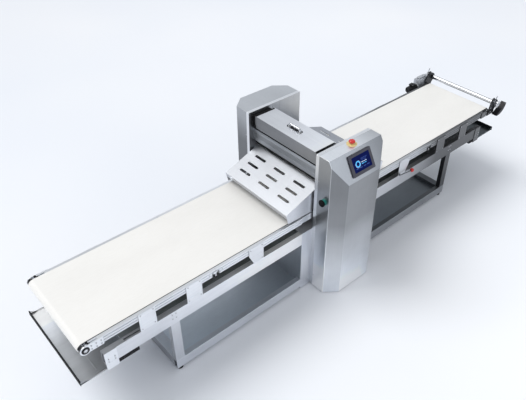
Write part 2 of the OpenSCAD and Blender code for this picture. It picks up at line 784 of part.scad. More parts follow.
lever_x = 738;
lever_z = 584;
lever_y = plate_y + 14;
lever_len = 146;
module lock_lever() {
    ball_r = 17;
    color([0.75, 0.10, 0.10]) place() mirror([0, 1, 0]) {
        rod_y(lever_x, lever_z, profile_y[1] + 0.5, lever_y, 5);
        rod_y(lever_x, lever_z, plate_y + 0.5, lever_y + 5, 9);
        translate([lever_x, lever_y, lever_z]) rotate([0, 95, 0]) {
            cylinder(h = lever_len, r = 3.2);
            translate([0, ball_r - lever_y + plate_y + 4, lever_len]) sphere(r = ball_r);
        }
    }
}

// ---- dough reeler at the outfeed end ----

// Brackets outside the end brackets that hold the winding roller beyond the belt's end
reel_plate_y = profile_y[1] + 8;
reel_plate_t = 6;
module reeler_brackets() {
    y0 = reel_plate_y;
    y1 = y0 + reel_plate_t;
    color(black) place() both_y() difference() {
        union() {
            xz(y0, y1) polygon([[2008, 664], [2004, 740], [2022, 814], [2036, 828], [2064, 828],
                [2084, 808], [2114, 796], [2138, 776], [2140, 742], [2098, 700], [2098, 664]]);
            box([2012, profile_y[1] + 5, 668], [2036, y0 + eps, 673]);
        }
        rod_y(reel_x, reel_z, y0 - 1, y1 + 1, 8 + fit);
        rod_y(clamp_x, clamp_z, y0 - 1, y1 + 1, 5 + fit);
    }
    // silver bearing flanges on the brackets' inner faces
    color(bright) place() both_y() difference() {
        rod_y(reel_x, reel_z, y0 - 8, y0 + eps, 19);
        rod_y(reel_x, reel_z, y0 - 9, y0 + 1, 8 + fit);
    }
}
module winding_roller() {
    color([0.90, 0.90, 0.88]) place() {
        rod_y(reel_x, reel_z, -profile_y[1] + 6, profile_y[1] - 6, reel_r);
        rod_y(reel_x, reel_z, -reel_plate_y - 40, reel_plate_y + 34, 8);
        // gear on the near end, above its guard
        sprocket(reel_x, reel_z, -reel_plate_y - 34, 34, 18, 8 - eps);
    }
}
// Small hand levers that lock the winding roller's ends in their brackets
module clamp(reach) {
    y0 = reel_plate_y + reel_plate_t + 0.5;
    rod_y(clamp_x, clamp_z, reel_plate_y + 0.5, y0 + reach, 5);
    rod_y(clamp_x, clamp_z, y0 + reach - 8, y0 + reach, 8);
    translate([clamp_x, y0 + reach - 4, clamp_z]) rotate([0, 28, 0]) {
        cylinder(h = 50, r = 3.2);
        translate([0, 0, 50]) sphere(r = 4.4);
    }
}
module near_clamp() { color(dark_steel) place() mirror([0, 1, 0]) clamp(8); }
module far_clamp() { color(dark_steel) place() clamp(34); }

// Worm gearbox and motor that turn the winding roller, on the far side
gearbox_y = reel_plate_y + 20;
module reeler_gearbox() {
    color(grey_paint) place() difference() {
        union() {
            yz(1908, 2050) polygon([[gearbox_y, 662], [gearbox_y, 776], [gearbox_y + 48, 776],
                [gearbox_y + 58, 766], [gearbox_y + 58, 662]]);
            box([2049, gearbox_y, 734], [2084, gearbox_y + 48, 772]);
            rod_y(reel_x, reel_z, gearbox_y, gearbox_y + 48, 26);
            // spacer to the bracket
            box([2030, reel_plate_y + reel_plate_t, 700], [2046, gearbox_y + eps, 730]);
        }
        rod_y(reel_x, reel_z, gearbox_y - 1, gearbox_y + 24, 8 + fit);
    }
}
module reeler_motor() {
    motor_x = [1786, 1908];
    y = gearbox_y + 29;
    z = 692;
    color(black) place() {
        rod_x(y, z, motor_x[0], motor_x[1], 28);
        for (x = [motor_x[0] + 12 : 9 : motor_x[1] - 12]) rod_x(y, z, x, x + 4, 34);
        rod_x(y, z, motor_x[0], motor_x[0] + 8, 33);
    }
}
// Round-bottomed guard below the winding roller's near end, with a sloping flat lid
cover_chord = [2083, 660];
cover_rise = atan2(88, 127);
module reeler_end_cover() {
    y0 = reel_plate_y + reel_plate_t;
    y1 = y0 + 52;
    wall = 4;
    module segment(t) {
        intersection() {
            translate([reel_x, reel_z]) circle(r = end_cover_r - t, $fn = 96);
            translate(cover_chord) rotate(cover_rise) translate([-60, -200 - t]) square([400, 200]);
        }
    }
    color(black) place() mirror([0, 1, 0]) difference() {
        xz(y0, y1) segment(0);
        xz(y0 - 1, y1 - wall) segment(wall);
    }
}

// ---- visible screws and bolts ----

module bolt_head(x, z, y, r) { rod_y(x, z, y, y + 2.6, r); }
module fasteners() {
    color([0.60, 0.62, 0.65]) place() both_x() both_y() {
        for (p = plate_xs, x = [p[0] + 14, p[1] - 14]) bolt_head(x, 702, plate_y, 4.5);
        for (z = [552, 516]) bolt_head((leg_x[0] + leg_x[1]) / 2, z, plate_y, 6);
        for (x = [rail_end - 20, rail_end - 62], z = [515, 492]) bolt_head(x, z, plate_y + 4, 4);
        for (x = [bracket_in + 12, bracket_in + 42], z = [roller_z - 15, roller_z + 15])
            bolt_head(x, z, profile_y[1] + 5, 4.5);
    }
}

near_side_plate();
far_side_plate();
near_housing();
far_housing();
centre_base();
levelling_feet();
hmi_panel();
hmi_display();
estop_base();
button_collar();
roller_bearings();
gap_actuators();
main_gearmotor();
drive_chains();
control_box();
lower_scrapers();
front_crossbar();
rear_head_panel();
side_profiles();
roller_brackets();
slider_beds();
table_cross_members();
left_belt();
right_belt();
belt_end_brackets();
mounting_plates();
top_rails();
legs();
lower_rails();
shelves();
flour_pans();
tray_hangers();
reeler_brackets();
reeler_motor();
reeler_gearbox();
reeler_end_cover();
cable_gland();
fasteners();
left_guard();
right_guard();
top_cover();
cover_handle();
roller_carriage();
upper_roller();
lower_roller();
motor_sprocket();
left_drive_roller();
left_end_roller();
right_drive_roller();
right_end_roller();
left_idler();
right_idler();
left_tray();
right_tray();
estop_button();
start_button();
lock_lever();
winding_roller();
near_clamp();
far_clamp();
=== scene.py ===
import bpy, bmesh, json, math
from mathutils import Vector, Matrix


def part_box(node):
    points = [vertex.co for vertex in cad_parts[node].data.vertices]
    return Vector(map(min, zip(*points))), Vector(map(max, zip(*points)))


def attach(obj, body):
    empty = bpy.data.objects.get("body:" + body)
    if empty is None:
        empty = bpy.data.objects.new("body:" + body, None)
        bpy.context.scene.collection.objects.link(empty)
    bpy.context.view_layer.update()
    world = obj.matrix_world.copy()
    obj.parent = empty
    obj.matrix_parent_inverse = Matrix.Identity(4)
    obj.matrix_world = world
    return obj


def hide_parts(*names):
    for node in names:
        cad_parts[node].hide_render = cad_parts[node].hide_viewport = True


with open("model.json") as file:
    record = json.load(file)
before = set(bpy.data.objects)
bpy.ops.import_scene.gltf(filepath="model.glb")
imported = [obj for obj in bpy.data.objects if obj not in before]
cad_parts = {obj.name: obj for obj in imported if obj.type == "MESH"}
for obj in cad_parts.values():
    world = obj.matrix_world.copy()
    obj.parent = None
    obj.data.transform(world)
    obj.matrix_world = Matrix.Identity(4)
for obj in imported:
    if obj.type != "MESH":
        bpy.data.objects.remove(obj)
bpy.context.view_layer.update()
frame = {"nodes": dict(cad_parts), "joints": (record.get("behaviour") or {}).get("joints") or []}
nodes = frame["nodes"]
scene = bpy.context.scene


def V(*a):
    return Vector(a)


# ---------------------------------------------------------------- places, in metres, from the frame
near_lo, near_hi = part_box("near_housing")
HEAD_X = (near_lo.x + near_hi.x) / 2  # the sheeting rollers' centre plane
COVER_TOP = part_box("top_cover")[1].z
motor_lo, motor_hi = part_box("reeler_motor")
MOTOR_Y, MOTOR_Z = (motor_lo.y + motor_hi.y) / 2, (motor_lo.z + motor_hi.z) / 2
JOINT_AT = {j["name"]: j["pos_m"] for j in frame["joints"] if "pos_m" in j}
PLATE_FACE = 0.355  # outer faces of the side plates, mounting plates and end brackets, from the centre line
PLATE_BACK = 0.3494  # just inside those plates
PROFILE_FACE = 0.350  # outer faces of the side profiles
UP = (0, 0, 1)
BOTH = (-1, 1)
ENDS = ((-1, "left"), (1, "right"))  # infeed and outfeed


def X(x):
    """Distance along the belts from the sheeting rollers' centre plane, as a frame coordinate."""
    return HEAD_X + x


# ---------------------------------------------------------------- shader building blocks
EVEN = (1, 1, 1)  # stretch of a noise without a direction


def grain(axis, fine):
    """Stretch of a noise drawn out along an axis; the smaller fine is, the longer its lines are."""
    return tuple(fine if a == axis else 1 for a in "XYZ")


def new_mat(name):
    m = bpy.data.materials.new(name)
    m.use_nodes = True
    nt = m.node_tree
    nt.nodes.clear()
    out = nt.nodes.new("ShaderNodeOutputMaterial")
    sh = nt.nodes.new("ShaderNodeBsdfPrincipled")
    nt.links.new(sh.outputs[0], out.inputs[0])
    return m, nt, sh


def add(nt, kind, **k):
    """A shader node; a name that starts with an underscore sets an input, any other an attribute."""
    n = nt.nodes.new(kind)
    for a, b in k.items():
        if a.startswith("_"):
            n.inputs[a[1:].replace("_", " ")].default_value = b
        else:
            setattr(n, a, b)
    return n


def noise(nt, stretch, scale, detail, rough):
    """A noise in object space, drawn out along the axes where stretch is small."""
    tc = add(nt, "ShaderNodeTexCoord")
    mp = add(nt, "ShaderNodeMapping", _Scale=stretch)
    nt.links.new(tc.outputs["Object"], mp.inputs["Vector"])
    n = add(nt, "ShaderNodeTexNoise", _Scale=scale, _Detail=detail, _Roughness=rough)
    nt.links.new(mp.outputs[0], n.inputs["Vector"])
    return n.outputs[0]


def ramp(nt, src, stops):
    """Colours at (position, colour) stops."""
    r = add(nt, "ShaderNodeValToRGB")
    while len(r.color_ramp.elements) < len(stops):
        r.color_ramp.elements.new(0.5)
    for e, (p, c) in zip(r.color_ramp.elements, stops):
        e.position = p
        e.color = (*c, 1)
    nt.links.new(src, r.inputs[0])
    return r.outputs[0]


def times(nt, colour, other, amount=1.0):
    """Colour multiplied by another colour or value, as far as amount says."""
    mx = add(nt, "ShaderNodeMix", data_type="RGBA", blend_type="MULTIPLY")
    mx.inputs[0].default_value = amount
    nt.links.new(colour, mx.inputs[6])
    nt.links.new(other, mx.inputs[7])
    return mx.outputs[2]


def fade(nt, tc, colour, axis, stops):
    """Colour times a painted lightness (painted light and shade) that runs through (metres, lightness) stops
    along an object's axis.
    """
    sep = add(nt, "ShaderNodeSeparateXYZ")
    nt.links.new(tc.outputs["Object"], sep.inputs[0])
    lo, hi, peak = stops[0][0], stops[-1][0], max(f for _, f in stops)
    mr = add(nt, "ShaderNodeMapRange", _From_Min=lo, _From_Max=hi)
    nt.links.new(sep.outputs[axis], mr.inputs[0])
    part = ramp(nt, mr.outputs[0], [((x - lo) / (hi - lo), (f / peak,) * 3) for x, f in stops])
    up = add(nt, "ShaderNodeMath", operation="MULTIPLY")
    nt.links.new(part, up.inputs[0])
    up.inputs[1].default_value = peak
    return times(nt, colour, up.outputs[0])


def surface(nt, sh, colour, gloss, rough, height, strength, depth):
    """Links a colour, a roughness spread over rough = (low, high) by the noise gloss, and a bump."""
    nt.links.new(colour, sh.inputs["Base Color"])
    # the noises lie between about 0.3 and 0.7
    mr = add(nt, "ShaderNodeMapRange", _From_Min=0.3, _From_Max=0.7, _To_Min=rough[0], _To_Max=rough[1])
    nt.links.new(gloss, mr.inputs[0])
    nt.links.new(mr.outputs[0], sh.inputs["Roughness"])
    b = add(nt, "ShaderNodeBump", _Strength=strength, _Distance=depth)
    nt.links.new(height, b.inputs["Height"])
    nt.links.new(b.outputs[0], sh.inputs["Normal"])


# ---------------------------------------------------------------- kinds of material
def metal(name, col, rough, stretch, brush=0.10, bump=0.04, cloud=0.05, faces=None, painted_light_fades=()):
    """Brushed metal: fine lines along the grain in roughness and bump, slow cloudy marks in colour.

    faces: painted light and shade, the lightness painted on faces square to X, Y and Z; painted_light_fades:
    (axis, stops) of painted lightness."""
    m, nt, sh = new_mat(name)
    sh.inputs["Metallic"].default_value = 1.0
    fine = noise(nt, stretch, scale=60.0, detail=8.0, rough=0.7)
    slow = noise(nt, EVEN, scale=3.2, detail=4.0, rough=0.55)
    dark = tuple(c * (1 - cloud) for c in col)
    light = tuple(min(1, c * (1 + cloud)) for c in col)
    lines = ramp(nt, fine, [(0.30, (0.90, 0.90, 0.91)), (0.70, (1, 1, 1))])
    colour = times(nt, ramp(nt, slow, [(0.32, dark), (0.68, light)]), lines, 0.7)
    tc = add(nt, "ShaderNodeTexCoord")
    # painted light and shade: the colour is scaled by the squared normal weighted by faces, so faces that are
    # lit more are painted lighter
    if faces:
        sq = add(nt, "ShaderNodeVectorMath", operation="MULTIPLY")
        nt.links.new(tc.outputs["Normal"], sq.inputs[0])
        nt.links.new(tc.outputs["Normal"], sq.inputs[1])
        dot = add(nt, "ShaderNodeVectorMath", operation="DOT_PRODUCT")
        nt.links.new(sq.outputs[0], dot.inputs[0])
        dot.inputs[1].default_value = faces
        colour = times(nt, colour, dot.outputs["Value"])
    for axis, stops in painted_light_fades:
        colour = fade(nt, tc, colour, axis, stops)
    surface(nt, sh, colour, fine, (max(0.04, rough - brush / 2), rough + brush / 2), fine, bump, 0.0006)
    return m


def plastic(name, col, rough, scale=260.0, bump=0.08, vary=0.12, coat=0.0, metallic=0.0, shine=0.5):
    """Moulded plastic, rubber or paint: fine grain in bump, faint unevenness in colour and gloss."""
    m, nt, sh = new_mat(name)
    sh.inputs["Metallic"].default_value = metallic
    sh.inputs["Coat Weight"].default_value = coat
    sh.inputs["Specular IOR Level"].default_value = shine
    fine = noise(nt, EVEN, scale, detail=3.0, rough=0.5)
    slow = noise(nt, EVEN, scale=9.0, detail=4.0, rough=0.6)
    dark = tuple(c * (1 - vary) for c in col)
    light = tuple(min(1, c * (1 + vary) + 0.004) for c in col)
    colour = ramp(nt, slow, [(0.34, dark), (0.66, light)])
    surface(nt, sh, colour, slow, (max(0.05, rough - 0.06), rough + 0.06), fine, bump, 0.0005)
    return m


def belt_material():
    """Food-grade belting: a fine woven structure under a smooth off-white skin, faintly floury."""
    m, nt, sh = new_mat("belt_cloth")
    tc = add(nt, "ShaderNodeTexCoord")
    weave = add(nt, "ShaderNodeMath", operation="MULTIPLY")
    for k, axis in enumerate("XY"):
        w = add(nt, "ShaderNodeTexWave", bands_direction=axis, _Scale=190.0, _Distortion=0.4, _Detail=1.0)
        nt.links.new(tc.outputs["Object"], w.inputs["Vector"])
        nt.links.new(w.outputs["Fac"], weave.inputs[k])
    slow = noise(nt, (0.6, 1.4, 1), scale=2.6, detail=5.0, rough=0.6)
    fleck = noise(nt, (0.4, 3.0, 1), scale=40.0, detail=4.0, rough=0.6)
    skin = ramp(nt, slow, [(0.30, (0.872, 0.856, 0.826)), (0.5, (0.892, 0.876, 0.846)),
                           (0.72, (0.904, 0.889, 0.860))])
    flour = ramp(nt, fleck, [(0.32, (0.972, 0.969, 0.964)), (0.6, (1, 1, 1))])
    surface(nt, sh, times(nt, skin, flour, 0.8), slow, (0.42, 0.58), weave.outputs[0], 0.12, 0.0004)
    return m


def glow(name, col, strength, rough=0.25, shine=0.3):
    """A lit area of the display: its glow is uneven, like a backlight behind a panel."""
    m, nt, sh = new_mat(name)
    patchy = noise(nt, EVEN, scale=30.0, detail=2.0, rough=0.5)
    colour = ramp(nt, patchy, [(0.3, tuple(c * 0.85 for c in col)), (0.7, col)])
    nt.links.new(colour, sh.inputs["Emission Color"])
    nt.links.new(colour, sh.inputs["Base Color"])
    sh.inputs["Emission Strength"].default_value = strength
    sh.inputs["Roughness"].default_value = rough
    sh.inputs["Specular IOR Level"].default_value = shine
    return m


# ---------------------------------------------------------------- the materials
# painted light and shade: (metres, lightness) stops along the belts; the infeed side, where the light falls,
# is painted lighter
RAIL_RUN = ("X", ((-2.2, 0.90), (-1.6, 1.05), (-0.9, 1.28), (-0.3, 1.45), (0.4, 0.82), (0.85, 0.54),
                  (1.2, 0.18), (2.2, 0.12)))
LOW_RUN = ("X", ((-2.2, 1.0), (-0.3, 1.05), (0.4, 0.60), (1.1, 0.50), (2.2, 0.50)))
LEG_RUN = ("X", ((-2.2, 1.0), (-0.9, 1.0), (-0.25, 1.12), (0.4, 0.65), (1.2, 0.22), (1.5, 0.13)))
PLATE_RUN = ("X", ((-2.2, 1.2), (-0.3, 1.15), (0.4, 0.95), (0.90, 0.90), (1.05, 0.20), (2.2, 0.15)))
PROFILE_RUN = ("X", ((-2.2, 1.0), (-1.5, 1.10), (-1.0, 1.22), (-0.3, 1.22), (0.4, 1.0), (0.9, 0.84),
                     (1.15, 0.32), (2.2, 0.26)))
SHELF_RUN = ("X", ((-1.5, 1.75), (-0.9, 1.70), (-0.4, 1.0), (0.4, 1.45), (1.5, 0.85)))
PAN_RUN = ("X", ((-2.0, 1.0), (-0.3, 0.75), (0.4, 0.50), (1.9, 0.40)))
# painted light: the near housing's infeed strip is painted lighter than the chamfer beside it, as it is lit
# more
STRIP_X = near_lo.x
NEAR_RUN = ("X", ((STRIP_X - 0.01, 2.9), (STRIP_X + 0.0008, 2.9), (STRIP_X + 0.003, 1.12), (-0.15, 1.07),
                  (0.0, 0.98), (0.08, 0.84), (0.21, 0.66)))
# painted light and shade up the housings
NEAR_RISE = ("Z", ((0.05, 2.8), (0.20, 2.4), (0.32, 1.95), (0.43, 1.6), (0.56, 1.25), (0.68, 0.87),
                   (0.95, 0.74), (1.25, 0.74)))
FAR_RISE = ("Z", ((0.50, 0.62), (0.95, 0.72), (1.05, 1.05), (1.15, 1.45), (1.25, 1.65)))
# painted light and shade across the machine, from the near side to the far side
HEAD_WIDTH = ("Y", ((-0.36, 1.20), (0.0, 0.98), (0.36, 0.82)))
TRAY_WIDTH = ("Y", ((-0.36, 0.66), (0.0, 0.95), (0.36, 2.3)))

STAINLESS, HOUSING_STEEL = (0.84, 0.86, 0.90), (0.84, 0.87, 0.91)
SATIN = {"brush": 0.08, "bump": 0.03}
# several entries are lit and shaded copies of the same steel: faces and painted_light_fades paint light and
# shade into their colour
M = {
    "steel_near": metal("stainless_near_housing", HOUSING_STEEL, 0.34, grain("Z", 0.03), cloud=0.06,
                        faces=(0.18, 0.46, 1.38), painted_light_fades=(NEAR_RISE, NEAR_RUN), **SATIN),
    "steel_far": metal("stainless_far_housing", HOUSING_STEEL, 0.34, grain("Z", 0.03), cloud=0.06,
                       faces=(0.30, 0.44, 0.46), painted_light_fades=(FAR_RISE,), **SATIN),
    "steel_x": metal("stainless_rails", STAINLESS, 0.33, grain("X", 0.03), faces=(0.50, 0.95, 0.95),
                     painted_light_fades=(RAIL_RUN,), **SATIN),
    "steel_low": metal("stainless_low_rails", STAINLESS, 0.33, grain("X", 0.03), faces=(0.50, 0.95, 0.95),
                       painted_light_fades=(LOW_RUN,), **SATIN),
    "steel_leg": metal("stainless_legs", STAINLESS, 0.33, grain("Z", 0.03), faces=(0.62, 0.92, 0.95),
                       painted_light_fades=(LEG_RUN,), **SATIN),
    "steel_y": metal("stainless_crosswise", STAINLESS, 0.32, grain("Y", 0.03), faces=(0.27, 0.50, 1.02),
                     painted_light_fades=(HEAD_WIDTH,), **SATIN),
    "steel_rear": metal("stainless_rear_panel", STAINLESS, 0.32, grain("Y", 0.03),
                        faces=(0.80, 0.50, 1.15), **SATIN),
    "rib": metal("ribbed_crossbar", (0.74, 0.77, 0.80), 0.34, grain("Z", 0.05), faces=(0.50, 0.45, 0.95),
                 painted_light_fades=(HEAD_WIDTH,), **SATIN),
    "bright": metal("stainless_bright", (0.76, 0.78, 0.81), 0.30, grain("X", 0.05), faces=(0.6, 1.0, 1.0),
                    painted_light_fades=(PLATE_RUN,), **SATIN),
    "rim": metal("side_plate_steel", (0.86, 0.88, 0.91), 0.30, grain("Z", 0.04), faces=(0.85, 0.62, 1.0),
                 **SATIN),
    "guard": metal("guard_steel", (0.53, 0.545, 0.575), 0.42, grain("Y", 0.04), brush=0.04, bump=0.012,
                   cloud=0.02, faces=(1.0, 1.5, 1.0)),
    "alu": metal("anodised_profile", (0.80, 0.82, 0.85), 0.38, grain("X", 0.02), brush=0.06, bump=0.03,
                 faces=(0.7, 0.96, 0.9), painted_light_fades=(PROFILE_RUN,)),
    "steel_dark": metal("stainless_shaded", (0.20, 0.22, 0.24), 0.40, grain("X", 0.05), cloud=0.08),
    "pan": metal("pan_steel", (0.42, 0.45, 0.47), 0.36, grain("X", 0.05), cloud=0.08, painted_light_fades=(PAN_RUN,)),
    "shelf": metal("shelf_steel", (0.50, 0.535, 0.57), 0.40, grain("X", 0.25), brush=0.04, bump=0.0,
                   painted_light_fades=(SHELF_RUN,)),
    "tray": metal("tray_steel", (0.58, 0.60, 0.63), 0.36, grain("X", 0.05), brush=0.08, cloud=0.06,
                  painted_light_fades=(TRAY_WIDTH,)),
    # painted shade: the outfeed tray is the same steel as the infeed tray, painted near black where it lies
    # in shade
    "tray_dark": metal("tray_steel_outfeed", (0.105, 0.120, 0.130), 0.34, grain("X", 0.05), cloud=0.10),
    "chrome": metal("polished_steel", (0.80, 0.81, 0.83), 0.10, grain("Y", 0.1), brush=0.05, bump=0.01,
                    cloud=0.02),
    "mirror": metal("bright_chrome", (0.62, 0.63, 0.65), 0.10, EVEN, brush=0.03, bump=0.0, cloud=0.01),
    "tube": metal("bright_tube", (0.74, 0.75, 0.77), 0.26, grain("Y", 0.2), brush=0.03, bump=0.0,
                  cloud=0.02),
    "machined": metal("machined_steel", (0.45, 0.46, 0.48), 0.36, grain("Y", 0.2), brush=0.12),
    "zinc": metal("zinc_screws", (0.66, 0.67, 0.69), 0.30, EVEN, brush=0.12, cloud=0.08),
    "belt": belt_material(),
    "rubber": plastic("black_rubber", (0.012, 0.012, 0.014), 0.62, 400.0, 0.15, shine=0.2),
    "black": plastic("black_moulding", (0.010, 0.010, 0.012), 0.38, 320.0, 0.10, shine=0.22),
    # near-black: the painted shadow of the gap strips at the cover and crossbar, and the start button's own
    # matt black
    "void": plastic("shadow_gap", (0.006, 0.006, 0.007), 0.7, 120.0, 0.05, shine=0.1),
    "black_metal": plastic("black_lacquer", (0.020, 0.021, 0.024), 0.32, 200.0, 0.05, metallic=0.2,
                           shine=0.3),
    "grey": plastic("grey_casting", (0.52, 0.54, 0.58), 0.40, 220.0, 0.25, 0.10, metallic=0.4),
    "alu_cast": plastic("cast_aluminium", (0.52, 0.54, 0.57), 0.44, 200.0, 0.30, 0.10, metallic=0.5),
    "blue_grey": plastic("motor_paint", (0.14, 0.17, 0.22), 0.38, 220.0, 0.15),
    "bezel": plastic("panel_bezel", (0.052, 0.050, 0.068), 0.40, 300.0, 0.06),
    "yellow": plastic("yellow_plastic", (0.84, 0.70, 0.32), 0.40, bump=0.05),
    "red": plastic("red_plastic", (0.66, 0.022, 0.018), 0.26, bump=0.03, coat=0.4),
    "red_dark": plastic("red_arrows", (0.30, 0.010, 0.010), 0.34, bump=0.03),
    "teal": plastic("teal_plastic", (0.010, 0.20, 0.17), 0.30, bump=0.04, coat=0.3),
    "glass": glow("display_glass", (0.002, 0.006, 0.060), 0.55, 0.50, 0.04),
    "glow_cyan": glow("display_cyan", (0.07, 0.42, 0.82), 0.65),
    "glow_white": glow("display_white", (0.50, 0.64, 0.86), 0.55),
    "glow_navy": glow("display_navy", (0.02, 0.05, 0.22), 0.7),
}

# ---------------------------------------------------------------- CAD nodes: edges and finishes
# finish and width of the broken edges of each node
FINISH = {
    "near_side_plate": ("rim", 0.0006), "far_side_plate": ("rim", 0.0006),
    "near_housing": ("steel_near", 0.0011), "far_housing": ("steel_far", 0.0011),
    "centre_base": ("steel_leg", 0.0012), "hmi_panel": ("bezel", 0.001), "hmi_display": ("glass", 0.0003),
    "estop_base": ("yellow", 0.001), "estop_button": ("red", 0.0008), "button_collar": ("teal", 0.001),
    "start_button": ("black", 0.0008), "roller_bearings": ("machined", 0.001),
    "gap_actuators": ("machined", 0.001), "main_gearmotor": ("blue_grey", 0.002),
    "drive_chains": ("machined", 0), "control_box": ("grey", 0.0012), "lower_scrapers": ("bright", 0.0005),
    "front_crossbar": ("rib", 0.0004), "rear_head_panel": ("steel_rear", 0.0008),
    "left_guard": ("guard", 0.0006), "right_guard": ("guard", 0.0006), "top_cover": ("steel_y", 0.0009),
    "cover_handle": ("chrome", 0.0005), "roller_carriage": ("machined", 0.001),
    "upper_roller": ("chrome", 0.001), "lower_roller": ("chrome", 0.0006),
    "motor_sprocket": ("machined", 0.0004), "side_profiles": ("alu", 0.0005),
    "roller_brackets": ("bright", 0.0006), "slider_beds": ("steel_dark", 0),
    "table_cross_members": ("steel_dark", 0.001), "left_belt": ("belt", 0.0006),
    "right_belt": ("belt", 0.0006), "left_drive_roller": ("chrome", 0.0006),
    "right_drive_roller": ("chrome", 0.0006), "left_end_roller": ("chrome", 0.0008),
    "right_end_roller": ("chrome", 0.0008), "left_idler": ("chrome", 0.0008),
    "right_idler": ("chrome", 0.0008), "belt_end_brackets": ("bright", 0.0008),
    "mounting_plates": ("bright", 0.0008), "top_rails": ("steel_x", 0.0014), "legs": ("steel_leg", 0.0014),
    "lower_rails": ("steel_low", 0.0014), "shelves": ("shelf", 0.0008), "flour_pans": ("pan", 0.0008),
    "levelling_feet": ("machined", 0.001), "fasteners": ("zinc", 0.0004),
    "tray_hangers": ("bright", 0.0008), "left_tray": ("tray", 0.0006), "right_tray": ("tray", 0.0006),
    "lock_lever": ("red", 0.0005), "winding_roller": ("tube", 0.0006),
    "reeler_brackets": ("black_metal", 0.0008), "reeler_motor": ("black", 0.001),
    "reeler_gearbox": ("grey", 0.002), "reeler_end_cover": ("black", 0.0008),
    "near_clamp": ("machined", 0.0004), "far_clamp": ("machined", 0.0004), "cable_gland": ("black", 0.0008),
}


def smooth(me):
    me.polygons.foreach_set("use_smooth", [True] * len(me.polygons))


def break_edges(o, width, least_turn):
    """Rounds the edges that turn by more than least_turn degrees."""
    b = o.modifiers.new("edge", "BEVEL")
    b.width = width
    b.segments = 2
    b.limit_method = "ANGLE"
    b.angle_limit = math.radians(least_turn)


def shade(o):
    """Flat faces stay flat to the eye beside their rounded edges."""
    n = o.modifiers.new("shade", "WEIGHTED_NORMAL")
    n.keep_sharp = False
    n.weight = 60


def dress(name, key, edge):
    """A CAD node keeps its shape; its split faces are welded, its edges broken and its shading smoothed."""
    o = nodes[name]
    me = o.data
    me.materials.clear()
    me.materials.append(M[key])
    smooth(me)
    if "custom_normal" in me.attributes:
        me.attributes.remove(me.attributes["custom_normal"])
    o.modifiers.new("weld", "WELD").merge_threshold = 0.00002
    if edge:
        break_edges(o, edge, 20)
    shade(o)


for node_name, (finish, edge_width) in FINISH.items():
    dress(node_name, finish, edge_width)
bare = set(nodes) - set(FINISH)
if bare:
    raise RuntimeError("no finish for %s" % sorted(bare))


# ---------------------------------------------------------------- building blocks for the detail pieces
def piece(name, bm, keys, body="machine", nodes_for=(), bevel=0.0):
    """Turns a mesh into a piece that rides a body, and may stand in for CAD nodes."""
    bmesh.ops.remove_doubles(bm, verts=bm.verts, dist=1e-6)
    bmesh.ops.recalc_face_normals(bm, faces=bm.faces)
    me = bpy.data.meshes.new(name)
    bm.to_mesh(me)
    bm.free()
    smooth(me)
    o = bpy.data.objects.new(name, me)
    scene.collection.objects.link(o)
    for k in (keys if isinstance(keys, tuple) else (keys,)):
        me.materials.append(M[k])
    if bevel:
        break_edges(o, bevel, 38)
    shade(o)
    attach(o, body)
    if nodes_for:
        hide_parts(*nodes_for)
    return o


def join(bm, a, b, mat=0, closed=True):
    """Four-sided faces between two rows with as many vertices."""
    n = len(a)
    for i in range(n if closed else n - 1):
        j = (i + 1) % n
        bm.faces.new((a[i], a[j], b[j], b[i])).material_index = mat


def solid_between(bm, low, high, mat=0):
    """A closed solid between two outlines with as many points."""
    va, vb = [bm.verts.new(p) for p in low], [bm.verts.new(p) for p in high]
    bm.faces.new(va).material_index = mat
    bm.faces.new(list(reversed(vb))).material_index = mat
    join(bm, vb, va, mat)


def prism(bm, outline, y0, y1):
    """An outline of (x, z) points given a thickness along Y."""
    solid_between(bm, [(x, y0, z) for x, z in outline], [(x, y1, z) for x, z in outline])


def block(bm, lo, hi, r=0.0012, seg=2):
    """A box with rounded edges."""
    v = bmesh.ops.create_cube(bm, size=1.0)["verts"]
    for p in v:
        p.co = V(*[(lo[i] + hi[i]) / 2 + p.co[i] * (hi[i] - lo[i]) for i in range(3)])
    edges = list({e for p in v for e in p.link_edges})
    bmesh.ops.bevel(bm, geom=edges, offset=r, segments=seg, affect="EDGES", profile=0.5, clamp_overlap=True)


def arc(x, z, r, a0, a1, steps):
    """Points on an arc from angle a0 to a1, in degrees."""
    turns = [math.radians(a0 + (a1 - a0) * k / steps) for k in range(steps + 1)]
    return [(x + r * math.cos(a), z + r * math.sin(a)) for a in turns]


def rounded(w, h, r, steps=5):
    """A rectangle with round corners, from its half width and half height."""
    corners = ((w - r, h - r), (r - w, h - r), (r - w, r - h), (w - r, r - h))
    return [p for k, (x, z) in enumerate(corners) for p in arc(x, z, r, 90 * k, 90 * k + 90, steps)]


def hexed(r, t):
    """Radius of a hexagon with apothem r, at angle t."""
    return r / math.cos((t % (math.pi / 3)) - math.pi / 6)


def lathe(bm, profile, at, axis, seg=32, mat=0, shape=None):
    """A profile of (radius, height[, "hex"]) turned round an axis; closed where the radius is nought.

    A profile that ends where it starts gives a ring; shape(r, t, h) may change a radius at angle t."""
    rot, at = V(*axis).normalized().to_track_quat("Z", "Y").to_matrix(), V(*at)
    is_ring = profile[0] == profile[-1]
    rings = []
    for r, h, *hexagonal in (profile[:-1] if is_ring else profile):
        if r < 1e-7:
            rings.append([bm.verts.new(at + rot @ V(0, 0, h))])
            continue
        ring = []
        for i in range(seg):
            t = 2 * math.pi * i / seg
            rr = hexed(r, t) if hexagonal else (shape(r, t, h) if shape else r)
            ring.append(bm.verts.new(at + rot @ V(rr * math.cos(t), rr * math.sin(t), h)))
        rings.append(ring)
    if is_ring:
        rings.append(rings[0])
    for a, b in zip(rings, rings[1:]):
        if len(a) == len(b):
            join(bm, a, b, mat)
            continue
        for i in range(seg):
            j = (i + 1) % seg
            corners = (a[0], b[i], b[j]) if len(a) == 1 else (a[i], a[j], b[0])
            bm.faces.new(corners).material_index = mat


